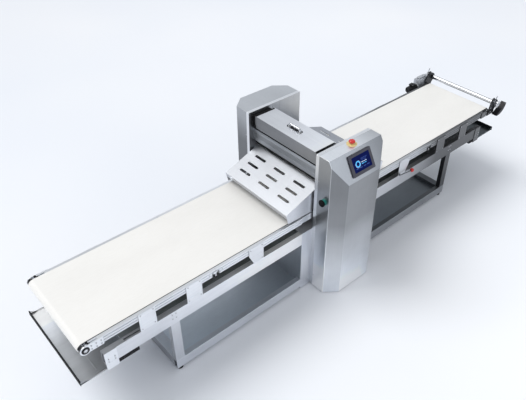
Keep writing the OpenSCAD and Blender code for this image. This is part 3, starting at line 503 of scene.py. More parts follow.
def dome(r, h0, h, steps):
    """Upper part of a profile: a quarter ellipse from radius r at h0 to the axis at h0 + h."""
    turns = [math.pi / 2 * i / steps for i in range(steps)]
    return [(r * math.cos(a), h0 + h * math.sin(a)) for a in turns] + [(0, h0 + h)]


def tube(bm, pts, radius, seg=16, mat=0):
    """A round bar along a path, closed at both ends; radius may be one value or one per point."""
    pts = [V(*p) for p in pts]
    rad = radius if isinstance(radius, (list, tuple)) else [radius] * len(pts)
    dirs = [(pts[min(i + 1, len(pts) - 1)] - pts[max(i - 1, 0)]).normalized() for i in range(len(pts))]
    side = dirs[0].orthogonal().normalized()
    turns = [2 * math.pi * i / seg for i in range(seg)]
    rings = []
    for p, d, r in zip(pts, dirs, rad):
        side = (side - d * side.dot(d)).normalized()
        other = d.cross(side)
        rings.append([bm.verts.new(p + r * (math.cos(t) * side + math.sin(t) * other)) for t in turns])
    for a, b in zip(rings, rings[1:]):
        join(bm, a, b, mat)
    bm.faces.new(list(reversed(rings[0]))).material_index = mat
    bm.faces.new(rings[-1]).material_index = mat


def socket_screw(bm, at, axis, r, h, mat=0):
    lathe(bm, [(0, -0.0004), (r, -0.0004), (r, h * 0.75), (r * 0.88, h), (r * 0.5, h, "hex"),
               (r * 0.5, h * 0.35, "hex"), (0, h * 0.35)], at, axis, 24, mat)


def pan_screw(bm, at, axis, r, h, mat=0):
    lathe(bm, [(0, -0.0004), (r, -0.0004), (r * 0.96, h * 0.45), (r * 0.7, h * 0.85), (r * 0.42, h, "hex"),
               (r * 0.42, h * 0.4, "hex"), (0, h * 0.4)], at, axis, 24, mat)


def from_to(side, a, b):
    """The span from a to b on one side (-1 or 1) of the middle, lower end first."""
    return sorted((side * a, side * b))


# ---------------------------------------------------------------- touch panel
SLOPE_RUN, SLOPE_DROP = 0.104, 0.186  # the near housing's sloping panel, across the machine and down
SLOPE_ANGLE = math.atan2(SLOPE_DROP, SLOPE_RUN)
SLOPE_START = V(HEAD_X, near_lo.y + SLOPE_RUN, near_hi.z)
SLOPE_DOWN = V(0, -math.cos(SLOPE_ANGLE), -math.sin(SLOPE_ANGLE))
SLOPE_OUT = V(0, -math.sin(SLOPE_ANGLE), math.cos(SLOPE_ANGLE))
BEZEL_AT = (0.005, 0.106)  # centres, across and down the slope
SCREEN_AT = (BEZEL_AT[0] + 0.003, BEZEL_AT[1] - 0.001)
DIAL_AT = (SCREEN_AT[0] - 0.040, SCREEN_AT[1] + 0.002)
GLASS = 0.0060  # where the marks start, a little inside the glass


def on_slope(a, s, out):
    """The point a across and s down the sloping panel, out above it."""
    return SLOPE_START + V(a, 0, 0) + SLOPE_DOWN * s + SLOPE_OUT * out


def shifted(outline, da, ds):
    return [(a + da, s + ds) for a, s in outline]


def frame_rows(bm, rows, mat=0, closed=True):
    """Rows of vertices, each joined to the next and the last to the first."""
    for a, b in zip(rows, rows[1:] + rows[:1]):
        join(bm, a, b, mat, closed)


bm = bmesh.new()
rim = shifted(rounded(0.1110, 0.0772, 0.007), *BEZEL_AT)
opening = shifted(rounded(0.0866, 0.0556, 0.002), *SCREEN_AT)
lip_rows = ((rim, 0.0062), (rim, 0.0094), (opening, 0.0082), (opening, 0.0062))
frame_rows(bm, [[bm.verts.new(on_slope(a, s, out)) for a, s in line] for line, out in lip_rows])
piece("bezel_frame", bm, "bezel", bevel=0.0007)

bm = bmesh.new()
# the dial: a broad ring, and a thin arc round it
for mat, r0, r1, a0, a1, face in ((0, 0.0145, 0.0225, 0, 360, 0.0069), (1, 0.0238, 0.0252, -60, 200, 0.0067)):
    full = a1 - a0 == 360
    rows = []
    for r, out in ((r0, GLASS), (r0, face), (r1, face), (r1, GLASS)):
        line = arc(*DIAL_AT, r, a0, a1, 40)
        rows.append([bm.verts.new(on_slope(a, s, out)) for a, s in (line[:-1] if full else line)])
    frame_rows(bm, rows, mat, full)
    if not full:
        bm.faces.new([row[0] for row in rows]).material_index = mat
        bm.faces.new([row[-1] for row in reversed(rows)]).material_index = mat
# rows of generic marks beside the dial: how far down, half height, material, and each mark's start and end
ROWS = ((-0.026, 0.0016, 2, ((-0.004, 0.018), (0.021, 0.034), (0.037, 0.058))),
        (-0.019, 0.0013, 2, ((-0.004, 0.028), (0.032, 0.050))),
        (-0.012, 0.0013, 2, ((-0.004, 0.012), (0.016, 0.044))),
        (0.000, 0.0022, 1, ((-0.006, 0.012), (0.015, 0.030), (0.033, 0.046))),
        (0.012, 0.0022, 0, ((-0.006, 0.020), (0.024, 0.040))),
        (0.032, 0.0030, 2, ((-0.066, -0.040), (-0.030, -0.006), (0.006, 0.030), (0.040, 0.064))))
for down, half, mat, marks in ROWS:
    for a0, a1 in marks:
        mark = shifted(rounded((a1 - a0) / 2, half, half * 0.45, 2),
                       SCREEN_AT[0] + (a0 + a1) / 2, SCREEN_AT[1] + down)
        solid_between(bm, [on_slope(a, s, GLASS) for a, s in mark],
                      [on_slope(a, s, 0.0068) for a, s in mark], mat)
piece("display_marks", bm, ("glow_cyan", "glow_white", "glow_navy"))

# ---------------------------------------------------------------- emergency stop and start button
estop_lo, estop_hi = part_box("estop_button")
ESTOP_X, ESTOP_Y = (estop_lo.x + estop_hi.x) / 2, (estop_lo.y + estop_hi.y) / 2
UNDERSIDE = estop_hi.z - 0.021  # of the mushroom


def fluted(r, t, h):
    """Five flutes in the mushroom's widest part."""
    if r < 0.0195 or h < 0.0005 or h > 0.0175:
        return r
    return r * (1 - 0.075 * max(0.0, math.cos(5 * t)) ** 3)


bm = bmesh.new()
crown = [(0.0236 * math.cos(math.radians(d)), 0.0085 + 0.0105 * math.sin(math.radians(d)))
         for d in (6, 14, 24, 34, 44, 54, 62)]
lathe(bm, [(0, -0.020), (0.0068, -0.020), (0.0068, 0.0), (0.0185, 0.0), (0.0215, 0.0012), (0.0232, 0.004),
           (0.0236, 0.0075)] + crown + [(0.0095, 0.0190), (0.0088, 0.0182), (0, 0.0184)],
      (ESTOP_X, ESTOP_Y, UNDERSIDE), UP, 80, 0, fluted)
# arrows round the crown that show which way to twist
for k in range(5):
    c, s = math.cos(math.radians(72 * k + 36)), math.sin(math.radians(72 * k + 36))
    low, high = [[(ESTOP_X + c * u - s * v, ESTOP_Y + s * u + c * v, UNDERSIDE + z)
                  for u, v, z in ((0.0118, -0.0030, heel), (0.0172, 0.0, tip), (0.0118, 0.0030, heel))]
                 for heel, tip in ((0.0165, 0.0145), (0.0188, 0.0164))]
    solid_between(bm, low, high, 1)
piece("estop_mushroom", bm, ("red", "red_dark"), "estop_button", ("estop_button",))

start_lo, start_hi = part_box("start_button")
START_Y, START_Z = (start_lo.y + start_hi.y) / 2, (start_lo.z + start_hi.z) / 2
bm = bmesh.new()
lathe(bm, [(0, -0.020), (0.0069, -0.020), (0.0069, 0.0), (0.0225, 0.0), (0.0255, 0.0010), (0.0270, 0.0035),
           (0.0270, 0.0065)] + dome(0.0268, 0.0072, 0.0135, 9),
      (start_lo.x + 0.021, START_Y, START_Z), (-1, 0, 0), 64)
piece("start_head", bm, "void", "start_button", ("start_button",))


def knurled(r, t, h):
    """Thirty ribs on the collar's outer wall."""
    return r * (1 + 0.022 * (1 if math.cos(30 * t) > 0 else -1)) if 0.0225 < r < 0.0236 else r


bm = bmesh.new()
lathe(bm, [(0.0078, 0.0), (0.0078, 0.0158), (0.0180, 0.0158), (0.0215, 0.0150), (0.0232, 0.0130),
           (0.0232, 0.0035), (0.0222, 0.0), (0.0078, 0.0)],
      (near_lo.x, START_Y, START_Z), (-1, 0, 0), 120, 0, knurled)
piece("start_collar_grip", bm, "teal", "machine", ())

# ---------------------------------------------------------------- handle on the top cover
handle_lo, handle_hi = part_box("cover_handle")
HANDLE_X = (handle_lo.x + handle_hi.x) / 2
GRIP, RISE = 0.056, 0.020  # half the distance between its feet, height of the bar
BAR, BEND = 0.0080, 0.0130  # radius of the bar and of its bends
bar_line = [(HANDLE_X, -GRIP, COVER_TOP - 0.0008)]
bar_line += [(HANDLE_X, y, z) for y, z in arc(-GRIP + BEND, COVER_TOP + RISE - BEND, BEND, 180, 90, 8)]
bar_line += [(x, -y, z) for x, y, z in reversed(bar_line)]
bm = bmesh.new()
tube(bm, bar_line, BAR, 24)
for s in BOTH:
    lathe(bm, [(0, -0.0005), (0.0130, -0.0005), (0.0130, 0.0018), (0.0118, 0.0030), (0.0090, 0.0034),
               (0.0082, 0.0046), (0, 0.0046)], (HANDLE_X, s * GRIP, COVER_TOP), UP, 32)
piece("handle_bar", bm, "mirror", "top_cover", ("cover_handle",))
# rubber pads under the handle's feet and bar, which also stand in for the dark shadow round the handle
# (painted shadow)
bm = bmesh.new()
PAD_Z = COVER_TOP + 0.0001
for s in BOTH:
    lathe(bm, [(0.0134, 0.0), (0.0195, 0.0), (0.0195, 0.0008), (0.0188, 0.0014), (0.0134, 0.0014),
               (0.0134, 0.0)], (HANDLE_X, s * GRIP, PAD_Z), UP, 32)
block(bm, (HANDLE_X - 0.0150, -GRIP + 0.0200, PAD_Z), (HANDLE_X + 0.0150, GRIP - 0.0200, COVER_TOP + 0.0014),
      0.0006)
piece("handle_pads", bm, "rubber", "top_cover")

# painted shadow: near-black strips that fill the shaded gaps between the cover's ends and the side plates
bm = bmesh.new()
for s in BOTH:
    prism(bm, [(X(-0.222), 1.112), (X(-0.222), 1.1985), (X(-0.056), 1.1985), (X(-0.056), 1.150),
               (X(-0.150), 1.112)], *from_to(s, 0.3235, PLATE_FACE - 0.0004))
piece("cover_end_seals", bm, "void", bevel=0.0015)
# painted shadow: near-black strips on the cover's own end faces, folded over its top edge, that stand for the
# shade at its ends
bm = bmesh.new()
for s in BOTH:
    prism(bm, [(X(-0.223), 1.104), (X(-0.223), 1.196), (X(-0.060), 1.196), (X(-0.050), 1.150),
               (X(-0.080), 1.104)], *from_to(s, 0.3212, 0.3230))
    y0, y1 = from_to(s, 0.3100, 0.3230)
    block(bm, (X(-0.2245), y0, PAD_Z), (X(-0.0400), y1, PAD_Z + 0.0016), 0.0006)
piece("cover_gaskets", bm, "void", "top_cover", bevel=0.0005)
# painted shadow: a near-black strip on top of the crossbar and a near-black sheet under it, above the infeed
# guard, where the slots lie in shade
bm = bmesh.new()
BAR_TOP = 1.0742
block(bm, (X(-0.2065), -0.352, BAR_TOP), (X(-0.160), 0.352, 1.0788))
block(bm, (X(-0.2035), -0.350, 0.9520), (X(-0.1915), 0.350, 0.9785))
piece("crossbar_seals", bm, "void")
# the latch under the cover's front edge
bm = bmesh.new()
block(bm, (X(-0.206), 0.248, BAR_TOP), (X(-0.168), 0.310, 1.0965), 0.002)
block(bm, (X(-0.211), 0.262, BAR_TOP), (X(-0.204), 0.296, 1.0900), 0.001)
piece("cover_latch", bm, "black")

# ---------------------------------------------------------------- catch trays, folded from sheet
SHEET = 0.0016
SIDE_Y = 0.350  # outer faces of the trays' long sides
for side, name in ENDS:
    tray = name + "_tray"
    tray_lo, tray_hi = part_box(tray)
    inner, outer = sorted((side * tray_lo.x, side * tray_hi.x))
    lip = outer - 0.003
    z0, z1 = tray_lo.z + 0.004, tray_hi.z
    fold = z0 + 0.0105
    bm = bmesh.new()
    # floor, long sides, and the inner end with its turned-over edge
    x0, x1 = from_to(side, inner, lip)
    block(bm, (x0, -SIDE_Y, z0), (x1, SIDE_Y, z0 + SHEET), 0.0005, 1)
    for s in BOTH:
        y0, y1 = from_to(s, SIDE_Y - SHEET, SIDE_Y)
        block(bm, (x0, y0, z0), (x1, y1, fold), 0.0005, 1)
        # gusset that carries the side up to the lip
        prism(bm, [(side * (lip - 0.050), z0 + 0.002), (side * lip, z0 + 0.002), (side * lip, z1 - 0.004)],
              y0, y1)
    x0, x1 = from_to(side, inner, inner + SHEET)
    block(bm, (x0, -SIDE_Y, z0), (x1, SIDE_Y, fold), 0.0005, 1)
    x0, x1 = from_to(side, inner, inner + 0.007)
    block(bm, (x0, -SIDE_Y + 0.004, z0 + 0.0092), (x1, SIDE_Y - 0.004, fold), 0.0004, 1)
    # steel lip, and stiffening beads pressed in the floor
    x0, x1 = from_to(side, lip - SHEET, lip)
    block(bm, (x0, -SIDE_Y, z0), (x1, SIDE_Y, z1 - 0.0015), 0.0004, 1)
    for u in (0.12, 0.26):
        x0, x1 = from_to(side, inner + u, inner + u + 0.010)
        block(bm, (x0, -SIDE_Y + 0.04, z0 + SHEET - 0.0004), (x1, SIDE_Y - 0.04, z0 + SHEET + 0.0012), 0.0010)
    # the outfeed tray takes the painted-shade copy of the tray steel
    piece(tray + "_pan", bm, "tray" if side < 0 else "tray_dark", tray, (tray,))
    bm = bmesh.new()
    # rubber over the lip, ribbed along its length, and grip strips on both sides
    x0, x1 = from_to(side, lip, outer)
    block(bm, (x0, -SIDE_Y - 0.003, tray_lo.z), (x1, SIDE_Y + 0.003, z1 - 0.002), 0.0010)
    x0, x1 = from_to(side, lip - SHEET - 0.0022, outer + 0.0004)
    block(bm, (x0, -SIDE_Y - 0.003, z1 - 0.0065), (x1, SIDE_Y + 0.003, z1), 0.0016, 3)
    x0, x1 = from_to(side, outer - 0.0006, outer + 0.0010)
    for k in range(4):
        z = tray_lo.z + 0.005 + 0.0065 * k
        block(bm, (x0, -SIDE_Y - 0.002, z), (x1, SIDE_Y + 0.002, z + 0.0028), 0.0006, 1)
    for s in BOTH:
        x0, x1 = from_to(side, inner, inner + 0.140)
        y0, y1 = from_to(s, SIDE_Y + 0.0002, SIDE_Y + 0.0040)
        block(bm, (x0, y0, z0 + 0.0008), (x1, y1, z1 - 0.0015), 0.0009)
        y0, y1 = from_to(s, SIDE_Y + 0.0030, SIDE_Y + 0.0045)
        for k in range(14):
            x0, x1 = from_to(side, inner + 0.006 + 0.0095 * k, inner + 0.0105 + 0.0095 * k)
            block(bm, (x0, y0, z0 + 0.003), (x1, y1, z1 - 0.006), 0.0005, 1)
    piece(tray + "_edging", bm, "rubber", tray, ())

# ---------------------------------------------------------------- lock lever: hub, black rod, red ball
LEVER_X, LEVER_Z = 0.738, 0.584
LEVER_LEN, BALL_R = 0.146, 0.017
lever_dir = V(math.sin(math.radians(95)), 0, math.cos(math.radians(95)))
ball_at = V(X(LEVER_X), -0.376, LEVER_Z) + lever_dir * LEVER_LEN
bm = bmesh.new()
lathe(bm, [(0, 0), (0.0049, 0), (0.0049, 0.0052), (0.0092, 0.0054), (0.0100, 0.0070), (0.0100, 0.0215),
           (0.0088, 0.0235), (0.0050, 0.0240, "hex"), (0.0050, 0.0205, "hex"), (0, 0.0205)],
      (X(LEVER_X), -0.3506, LEVER_Z), (0, -1, 0), 36)
rod_start = V(X(LEVER_X), -0.369, LEVER_Z) + lever_dir * 0.004
rod_end = ball_at - lever_dir * (BALL_R * 0.6)
tube(bm, [rod_start.lerp(rod_end, k / 10) for k in range(11)],
     [0.0044, 0.0042, 0.0036, 0.0034, 0.0034, 0.0034, 0.0034, 0.0034, 0.0036, 0.0042, 0.0052], 20, 1)
piece("lever_rod", bm, ("machined", "black_metal"), "lock_lever", ("lock_lever",))
bm = bmesh.new()
ball_arc = arc(0, 0, BALL_R, -68, 90, 24)[1:-1]
lathe(bm, [(0, -BALL_R * 0.93), (0.0062, -BALL_R * 0.93)] + ball_arc + [(0, BALL_R)], ball_at, lever_dir, 40)
piece("lever_ball", bm, "red", "lock_lever", ())

# ---------------------------------------------------------------- belt ends: bearings and screws
bm = bmesh.new()
for sx, end in ENDS:
    jx, _, jz = JOINT_AT[end + "_end_roller_spin"]
    for sy in BOTH:
        face, out = sy * PLATE_FACE, (0, sy, 0)
        # black bearing ring with a silver inner race
        lathe(bm, [(0.0125, 0.0), (0.0240, 0.0), (0.0240, 0.0026), (0.0222, 0.0042), (0.0170, 0.0046),
                   (0.0150, 0.0030), (0.0125, 0.0030), (0.0125, 0.0)], (jx, face, jz), out, 40)
        lathe(bm, [(0.01035, 0.0), (0.0125, 0.0), (0.0130, 0.0008), (0.0130, 0.0036), (0.0118, 0.0046),
                   (0.01035, 0.0046), (0.01035, 0.0)], (jx, face, jz), out, 40, 1)
        # three pairs of screws along the bracket
        for x in (1.925, 1.955, 1.985):
            for dz in (-0.0135, 0.0135):
                socket_screw(bm, (X(sx * x), face, jz + dz), out, 0.0046, 0.0034, 1)
        # black moulded cap that closes the profile's end behind the bracket
        x0, x1 = sorted((X(sx * 1.9856), X(sx * 1.9920)))
        y0, y1 = from_to(sy, 0.3290, PLATE_BACK)
        block(bm, (x0, y0, 0.665), (x1, y1, 0.7165), 0.001)
piece("belt_end_fittings", bm, ("black", "zinc"))

# black guards over the gap between the belt's end and each bracket, and slotted tension blocks
GUARD_RING = arc(0, 0, 0.031, -70, 80, 14) + arc(0, 0, 0.0255, 80, -70, 14)
bm = bmesh.new()
for sx, end in ENDS:
    jx, _, jz = JOINT_AT[end + "_end_roller_spin"]
    for sy in BOTH:
        prism(bm, [(jx + sx * x, jz + z) for x, z in GUARD_RING], *from_to(sy, 0.3285, PLATE_BACK))
        x0, x1 = sorted((jx - sx * 0.012, jx - sx * 0.026))
        y0, y1 = from_to(sy, 0.332, 0.347)
        block(bm, (x0, y0, 0.7180), (x1, y1, 0.7255))
piece("belt_end_guards", bm, "black", bevel=0.0008)

# ---------------------------------------------------------------- screws on plates, legs and hangers
bm = bmesh.new()
PLATES = ((1.573, 1.687), (1.235, 1.352), (0.725, 0.851))  # ends of the mounting plates, from the head
for sx in BOTH:
    for sy in BOTH:
        face, out = sy * PLATE_FACE, (0, sy, 0)
        for a, b in PLATES:
            for x in (a + 0.014, b - 0.014):
                pan_screw(bm, (X(sx * x), face, 0.702), out, 0.0052, 0.0030)
                # the lock lever's hub takes the place of one lower screw
                if sy > 0 or abs(sx * x - LEVER_X) > 0.01:
                    socket_screw(bm, (X(sx * x), face, 0.586), out, 0.0044, 0.0030)
        for z in (0.552, 0.516):
            for dx in (-0.013, 0.013):
                pan_screw(bm, (X(sx * (1.457 + dx)), face, z), out, 0.0058, 0.0030)
        for x in (1.915, 1.873):
            for z in (0.515, 0.492):
                socket_screw(bm, (X(sx * x), sy * 0.359, z), out, 0.0044, 0.0034)
        # joints of the two lengths of side profile
        for x in (1.070, 1.172):
            pan_screw(bm, (X(sx * x), sy * PROFILE_FACE, 0.6915), out, 0.0042, 0.0026)
piece("screws", bm, "zinc", "machine", ("fasteners",))

# ---------------------------------------------------------------- idler ends in the profiles' notches
HOOK = [(-0.017, 0.012)] + arc(0, -0.004, 0.017, 180, 360, 10) + [(0.017, 0.012), (0.0085, 0.012)]
HOOK += arc(0, -0.003, 0.0085, 0, -180, 8) + [(-0.0085, 0.012)]
bm = bmesh.new()
for sx, end in ENDS:
    jx, _, jz = JOINT_AT[end + "_idler_spin"]
    for sy in BOTH:
        prism(bm, [(jx + x, jz + z) for x, z in HOOK], *from_to(sy, 0.3456, PLATE_BACK))
        # bright dowel that joins the two lengths of profile
        tube(bm, [(jx + dx, sy * 0.3445, 0.7075) for dx in (-0.026, -0.012, 0.012, 0.026)], 0.0058, 16, 1)
piece("splice_fittings", bm, ("black", "zinc"))

# ---------------------------------------------------------------- levelling feet
bm = bmesh.new()


def foot(x, y, top):
    """Rubber pad, threaded spindle up to top, and a nut where there is room for one."""
    lathe(bm, [(0, 0), (0.0225, 0), (0.0240, 0.0015), (0.0240, 0.0042), (0.0225, 0.0058), (0.0120, 0.0085),
               (0.0105, 0.0110), (0, 0.0110)], (x, y, 0), UP, 40)
    thread, h = [(0, 0.004), (0.0068, 0.004)], 0.009
    while h < top - 0.0015:
        thread.append((0.0061 if len(thread) % 2 == 0 else 0.0070, h))
        h += 0.0009
    lathe(bm, thread + [(0.0068, top + 0.0008), (0, top + 0.0008)], (x, y, 0), UP, 24, 1)
    if top > 0.020:
        lathe(bm, [(0, 0.0165), (0.0110, 0.0165, "hex"), (0.0110, 0.0235, "hex"), (0, 0.0235)],
              (x, y, 0), UP, 24, 1)


for sx in BOTH:
    for sy in BOTH:
        foot(X(sx * 1.457), sy * 0.327, 0.026)
        foot(X(sx * 0.322), sy * 0.317, 0.008)
        foot(X(sx * 0.179), sy * 0.448, 0.008)
piece("adjustable_feet", bm, ("rubber", "zinc"), "machine", ("levelling_feet",))

# ---------------------------------------------------------------- reeler: motor, gearbox trim, clamps, hub
LENGTH = motor_hi.x - motor_lo.x


def ribs(r, t, h):
    """Every third of 72 steps round the motor's shell is a groove."""
    in_shell = r > 0.0325 and 0.026 < h < LENGTH - 0.014
    return 0.0300 if in_shell and int(t / (2 * math.pi) * 72 + 0.5) % 3 == 0 else r


def round_motor(r, a):
    """y and z on a circle of radius r round the motor's axis."""
    return MOTOR_Y + r * math.cos(a), MOTOR_Z + r * math.sin(a)


bm = bmesh.new()
lathe(bm, [(0, 0.003), (0.0120, 0.003), (0.0150, 0.0), (0.0250, 0.0), (0.0310, 0.002), (0.0332, 0.006),
           (0.0332, 0.0240), (0.0305, 0.0248), (0.0305, 0.0262), (0.0338, 0.0268), (0.0338, LENGTH - 0.0160),
           (0.0325, LENGTH - 0.0150), (0.0325, LENGTH - 0.0070), (0.0335, LENGTH - 0.0060), (0.0335, LENGTH),
           (0, LENGTH)], (motor_lo.x, MOTOR_Y, MOTOR_Z), (1, 0, 0), 72, 0, ribs)
for k in range(8):
    lathe(bm, [(0, 0), (0.0022, 0), (0.0022, 0.0016), (0, 0.0016)],
          (motor_lo.x - 0.0004, *round_motor(0.021, 2 * math.pi * k / 8)), (-1, 0, 0), 12)
for x0, x1, half, z0, z1, r, seg in ((0.040, 0.088, 0.024, 0.030, 0.043, 0.003, 3),
                                     (0.038, 0.090, 0.026, 0.0425, 0.046, 0.0012, 2)):
    block(bm, (motor_lo.x + x0, MOTOR_Y - half, MOTOR_Z + z0),
          (motor_lo.x + x1, MOTOR_Y + half, MOTOR_Z + z1), r, seg)
for dx in (0.043, 0.085):
    for dy in (-0.021, 0.021):
        pan_screw(bm, (motor_lo.x + dx, MOTOR_Y + dy, MOTOR_Z + 0.046), UP, 0.0026, 0.0014, 1)
piece("finned_motor", bm, ("black", "zinc"), "machine", ("reeler_motor",))

gear_lo, gear_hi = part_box("reeler_gearbox")
GEAR_X0, GEAR_X1 = gear_lo.x, X(2.050)
GEAR_Y0, GEAR_Y1 = 0.378, 0.436
GEAR_TOP = gear_hi.z
CAP_Z = MOTOR_Z + 0.016
bm = bmesh.new()
# motor flange with its bolts, top cover, breather and the worm housing's end caps
lathe(bm, [(0, -0.004), (0.0360, -0.004), (0.0380, -0.002), (0.0380, 0.005), (0.0360, 0.0075),
           (0.0300, 0.0120), (0, 0.0120)], (GEAR_X0, MOTOR_Y, MOTOR_Z), (1, 0, 0), 48)
for k in range(4):
    socket_screw(bm, (GEAR_X0 - 0.004, *round_motor(0.0325, math.radians(45 + 90 * k))), (-1, 0, 0),
                 0.0034, 0.0034, 1)
block(bm, (GEAR_X0 + 0.014, GEAR_Y0 + 0.006, GEAR_TOP - 0.001),
      (GEAR_X1 - 0.020, GEAR_Y1 - 0.016, GEAR_TOP + 0.0050), 0.0020, 3)
for dx in (0.022, 0.058, 0.098):
    for y in (GEAR_Y0 + 0.011, GEAR_Y1 - 0.021):
        socket_screw(bm, (GEAR_X0 + dx, y, GEAR_TOP + 0.005), UP, 0.0030, 0.0028, 1)
lathe(bm, [(0, 0), (0.0062, 0.0, "hex"), (0.0062, 0.006, "hex"), (0.0040, 0.0062), (0.0040, 0.0090),
           (0.0026, 0.0100), (0, 0.0100)],
      (GEAR_X0 + 0.078, (GEAR_Y0 + GEAR_Y1) / 2 - 0.004, GEAR_TOP + 0.005), UP, 24, 1)
for x, r in ((GEAR_X0 + 0.040, 0.030), (GEAR_X0 + 0.100, 0.024)):
    lathe(bm, [(0, -0.003), (r, -0.003), (r, 0.004), (r - 0.003, 0.006), (r * 0.55, 0.006), (r * 0.50, 0.004),
               (0, 0.004)], (x, GEAR_Y1, CAP_Z), (0, 1, 0), 48)
    for bolt_x, bolt_z in arc(x, CAP_Z, r - 0.006, 0, 300, 5):
        socket_screw(bm, (bolt_x, GEAR_Y1 + 0.006, bolt_z), (0, 1, 0), 0.0022, 0.0020, 1)
for k in range(5):
    x = GEAR_X0 + 0.014 + 0.024 * k
    block(bm, (x, GEAR_Y0 - 0.003, gear_lo.z + 0.008), (x + 0.005, GEAR_Y0 + 0.001, GEAR_TOP - 0.012), 0.0010)
piece("gearbox_trim", bm, ("alu_cast", "zinc"))

CLAMP_FOOT = 0.3586
lean = V(math.sin(math.radians(28)), 0, math.cos(math.radians(28)))
for name, sy, lever_y in (("near_clamp", -1, 0.3685), ("far_clamp", 1, 0.3945)):
    jx, _, jz = JOINT_AT[name + "_swing"]
    reach = lever_y - CLAMP_FOOT
    bm = bmesh.new()
    lathe(bm, [(0, 0), (0.0049, 0), (0.0049, reach - 0.0045), (0.0076, reach - 0.0040),
               (0.0080, reach - 0.0030), (0.0080, reach + 0.0030), (0.0070, reach + 0.0042),
               (0.0036, reach + 0.0044, "hex"), (0.0036, reach + 0.0020, "hex"), (0, reach + 0.0020)],
          (jx, sy * CLAMP_FOOT, jz), (0, sy, 0), 36)
    # the lever bends outwards towards its end
    tube(bm, [V(jx, sy * (lever_y + 0.0027 * (k / 9) ** 2), jz) + lean * (0.004 + 0.050 * k / 9)
              for k in range(10)],
         [0.0036, 0.0034, 0.0031, 0.0031, 0.0034, 0.0039, 0.0043, 0.0046, 0.0045, 0.0030], 18)
    piece(name + "_lever", bm, "machined", name, (name,))

jx, _, jz = JOINT_AT["winding_roller_spin"]
bm = bmesh.new()
for sy in BOTH:
    # clamp block that holds the roller's end, with three screws
    lathe(bm, [(0.0084, 0.0), (0.0230, 0.0), (0.0240, 0.0014), (0.0240, 0.0060), (0.0220, 0.0080),
               (0.0150, 0.0084), (0.0140, 0.0120), (0.0084, 0.0122), (0.0084, 0.0)],
          (jx, sy * 0.3641, jz), (0, sy, 0), 40)
    for x, z in arc(jx, jz, 0.0185, 50, 290, 2):
        socket_screw(bm, (x, sy * 0.3721, z), (0, sy, 0), 0.0026, 0.0024)
for dx, dz, r in ((-0.052, 0.040, 0.0070), (-0.078, -0.020, 0.0062), (-0.070, -0.062, 0.0062),
                  (0.022, -0.030, 0.0055)):
    socket_screw(bm, (jx + dx, -0.3640, jz + dz), (0, -1, 0), r, 0.0052)
piece("reeler_hub_fittings", bm, "mirror")

# ---------------------------------------------------------------- screws along the housings' seams
bm = bmesh.new()
for sy in BOTH:
    for sx in BOTH:
        for z in (0.120, 0.420, 0.720, 1.020):
            pan_screw(bm, (X(sx * 0.259), sy * 0.3925, z), (sx, 0, 0), 0.0038, 0.0018)
piece("housing_screws", bm, "zinc")

# ---------------------------------------------------------------- camera, at the photograph's viewing angle
CAMERA_FROM_ORIGIN = V(-2.64501, -2.58784, 3.38728)  # metres, from the part's origin on the floor
CAMERA_AZ, CAMERA_EL, CAMERA_ROLL = -43.2553, 37.2318, 1.3281  # degrees
LENS, SENSOR = 39.938, 36.0
SHIFT = (-0.0518, -0.0231)


def place_camera():
    az, el, roll = (math.radians(a) for a in (CAMERA_AZ, CAMERA_EL, CAMERA_ROLL))
    back = V(math.sin(az) * math.cos(el), -math.cos(az) * math.cos(el), math.sin(el))
    level = (-back).cross(V(*UP)).normalized()
    upright = level.cross(-back)
    right = math.cos(roll) * level + math.sin(roll) * upright
    up = -math.sin(roll) * level + math.cos(roll) * upright
    cam = bpy.data.objects.new("camera", bpy.data.cameras.new("camera"))
    scene.collection.objects.link(cam)
    columns = zip(right, up, back, CAMERA_FROM_ORIGIN)
    cam.matrix_world = Matrix((*columns, (0, 0, 0, 1)))
    cam.data.sensor_width = SENSOR
    cam.data.lens = LENS
    cam.data.shift_x, cam.data.shift_y = SHIFT
    cam.data.clip_end = 100
    scene.camera = cam


place_camera()


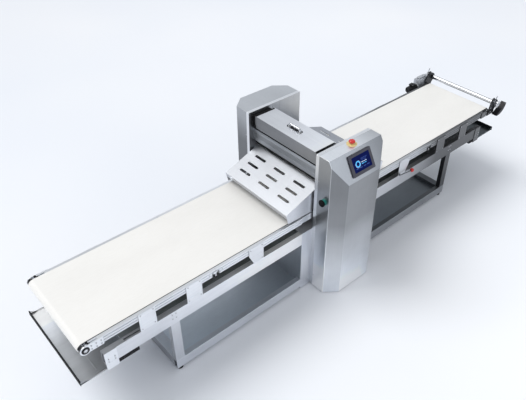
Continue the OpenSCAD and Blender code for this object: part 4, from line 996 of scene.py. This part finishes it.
# ---------------------------------------------------------------- floor and light
def floor():
    bm = bmesh.new()
    bmesh.ops.create_grid(bm, x_segments=24, y_segments=24, size=30)
    me = bpy.data.meshes.new("floor")
    bm.to_mesh(me)
    bm.free()
    o = bpy.data.objects.new("floor", me)
    scene.collection.objects.link(o)
    m, nt, sh = new_mat("studio_floor")
    cloudy = noise(nt, EVEN, scale=0.25, detail=2.0, rough=0.5)
    colour = ramp(nt, cloudy, [(0.3, (0.86, 0.89, 0.95)), (0.7, (0.93, 0.94, 0.97))])
    nt.links.new(colour, sh.inputs["Base Color"])
    sh.inputs["Roughness"].default_value = 0.75
    me.materials.append(m)


floor()


def area(name, pos, target, size, power, col):
    d = bpy.data.lights.new(name, "AREA")
    d.shape = "RECTANGLE"
    d.size, d.size_y = size
    d.energy = power
    d.color = col
    o = bpy.data.objects.new(name, d)
    scene.collection.objects.link(o)
    o.location = pos
    o.rotation_euler = (V(*target) - V(*pos)).to_track_quat("-Z", "Y").to_euler()


area("left_softbox", (-5.0, 1.2, 3.6), (-0.6, 0, 0.7), (3.6, 2.4), 26, (1.0, 1.0, 1.0))
area("front_softbox", (0.6, -5.2, 3.2), (0.2, 0, 0.7), (3.2, 2.4), 34, (0.94, 0.97, 1.0))
area("panel_softbox", (3.3, -5.4, 2.3), (0.0, -0.5, 1.1), (2.6, 1.6), 14, (0.93, 0.96, 1.0))
area("back_softbox", (3.2, 3.6, 4.7), (0.0, 0.0, 1.0), (5.0, 5.0), 18, (0.96, 0.98, 1.0))
sun = bpy.data.lights.new("window_light", "SUN")
sun.energy = 1.5
sun.angle = math.radians(34)
sun.color = (1.0, 1.0, 0.99)
sun_obj = bpy.data.objects.new("window_light", sun)
scene.collection.objects.link(sun_obj)
sun_obj.rotation_euler = V(0.42, -0.52, -1.0).to_track_quat("-Z", "Y").to_euler()

world = bpy.data.worlds.new("studio")
scene.world = world
world.use_nodes = True
wn = world.node_tree
background = wn.nodes["Background"]
sep = add(wn, "ShaderNodeSeparateXYZ")
wn.links.new(add(wn, "ShaderNodeTexCoord").outputs["Generated"], sep.inputs[0])
sky = ramp(wn, sep.outputs["Z"], [(0.0, (0.62, 0.68, 0.78)), (0.8, (0.96, 0.98, 1.0))])
wn.links.new(sky, background.inputs[0])
background.inputs[1].default_value = 0.60
scene.view_settings.view_transform = "Standard"

# ---------------------------------------------------------------- the scene brought up to date, then the end
bpy.context.view_layer.update()
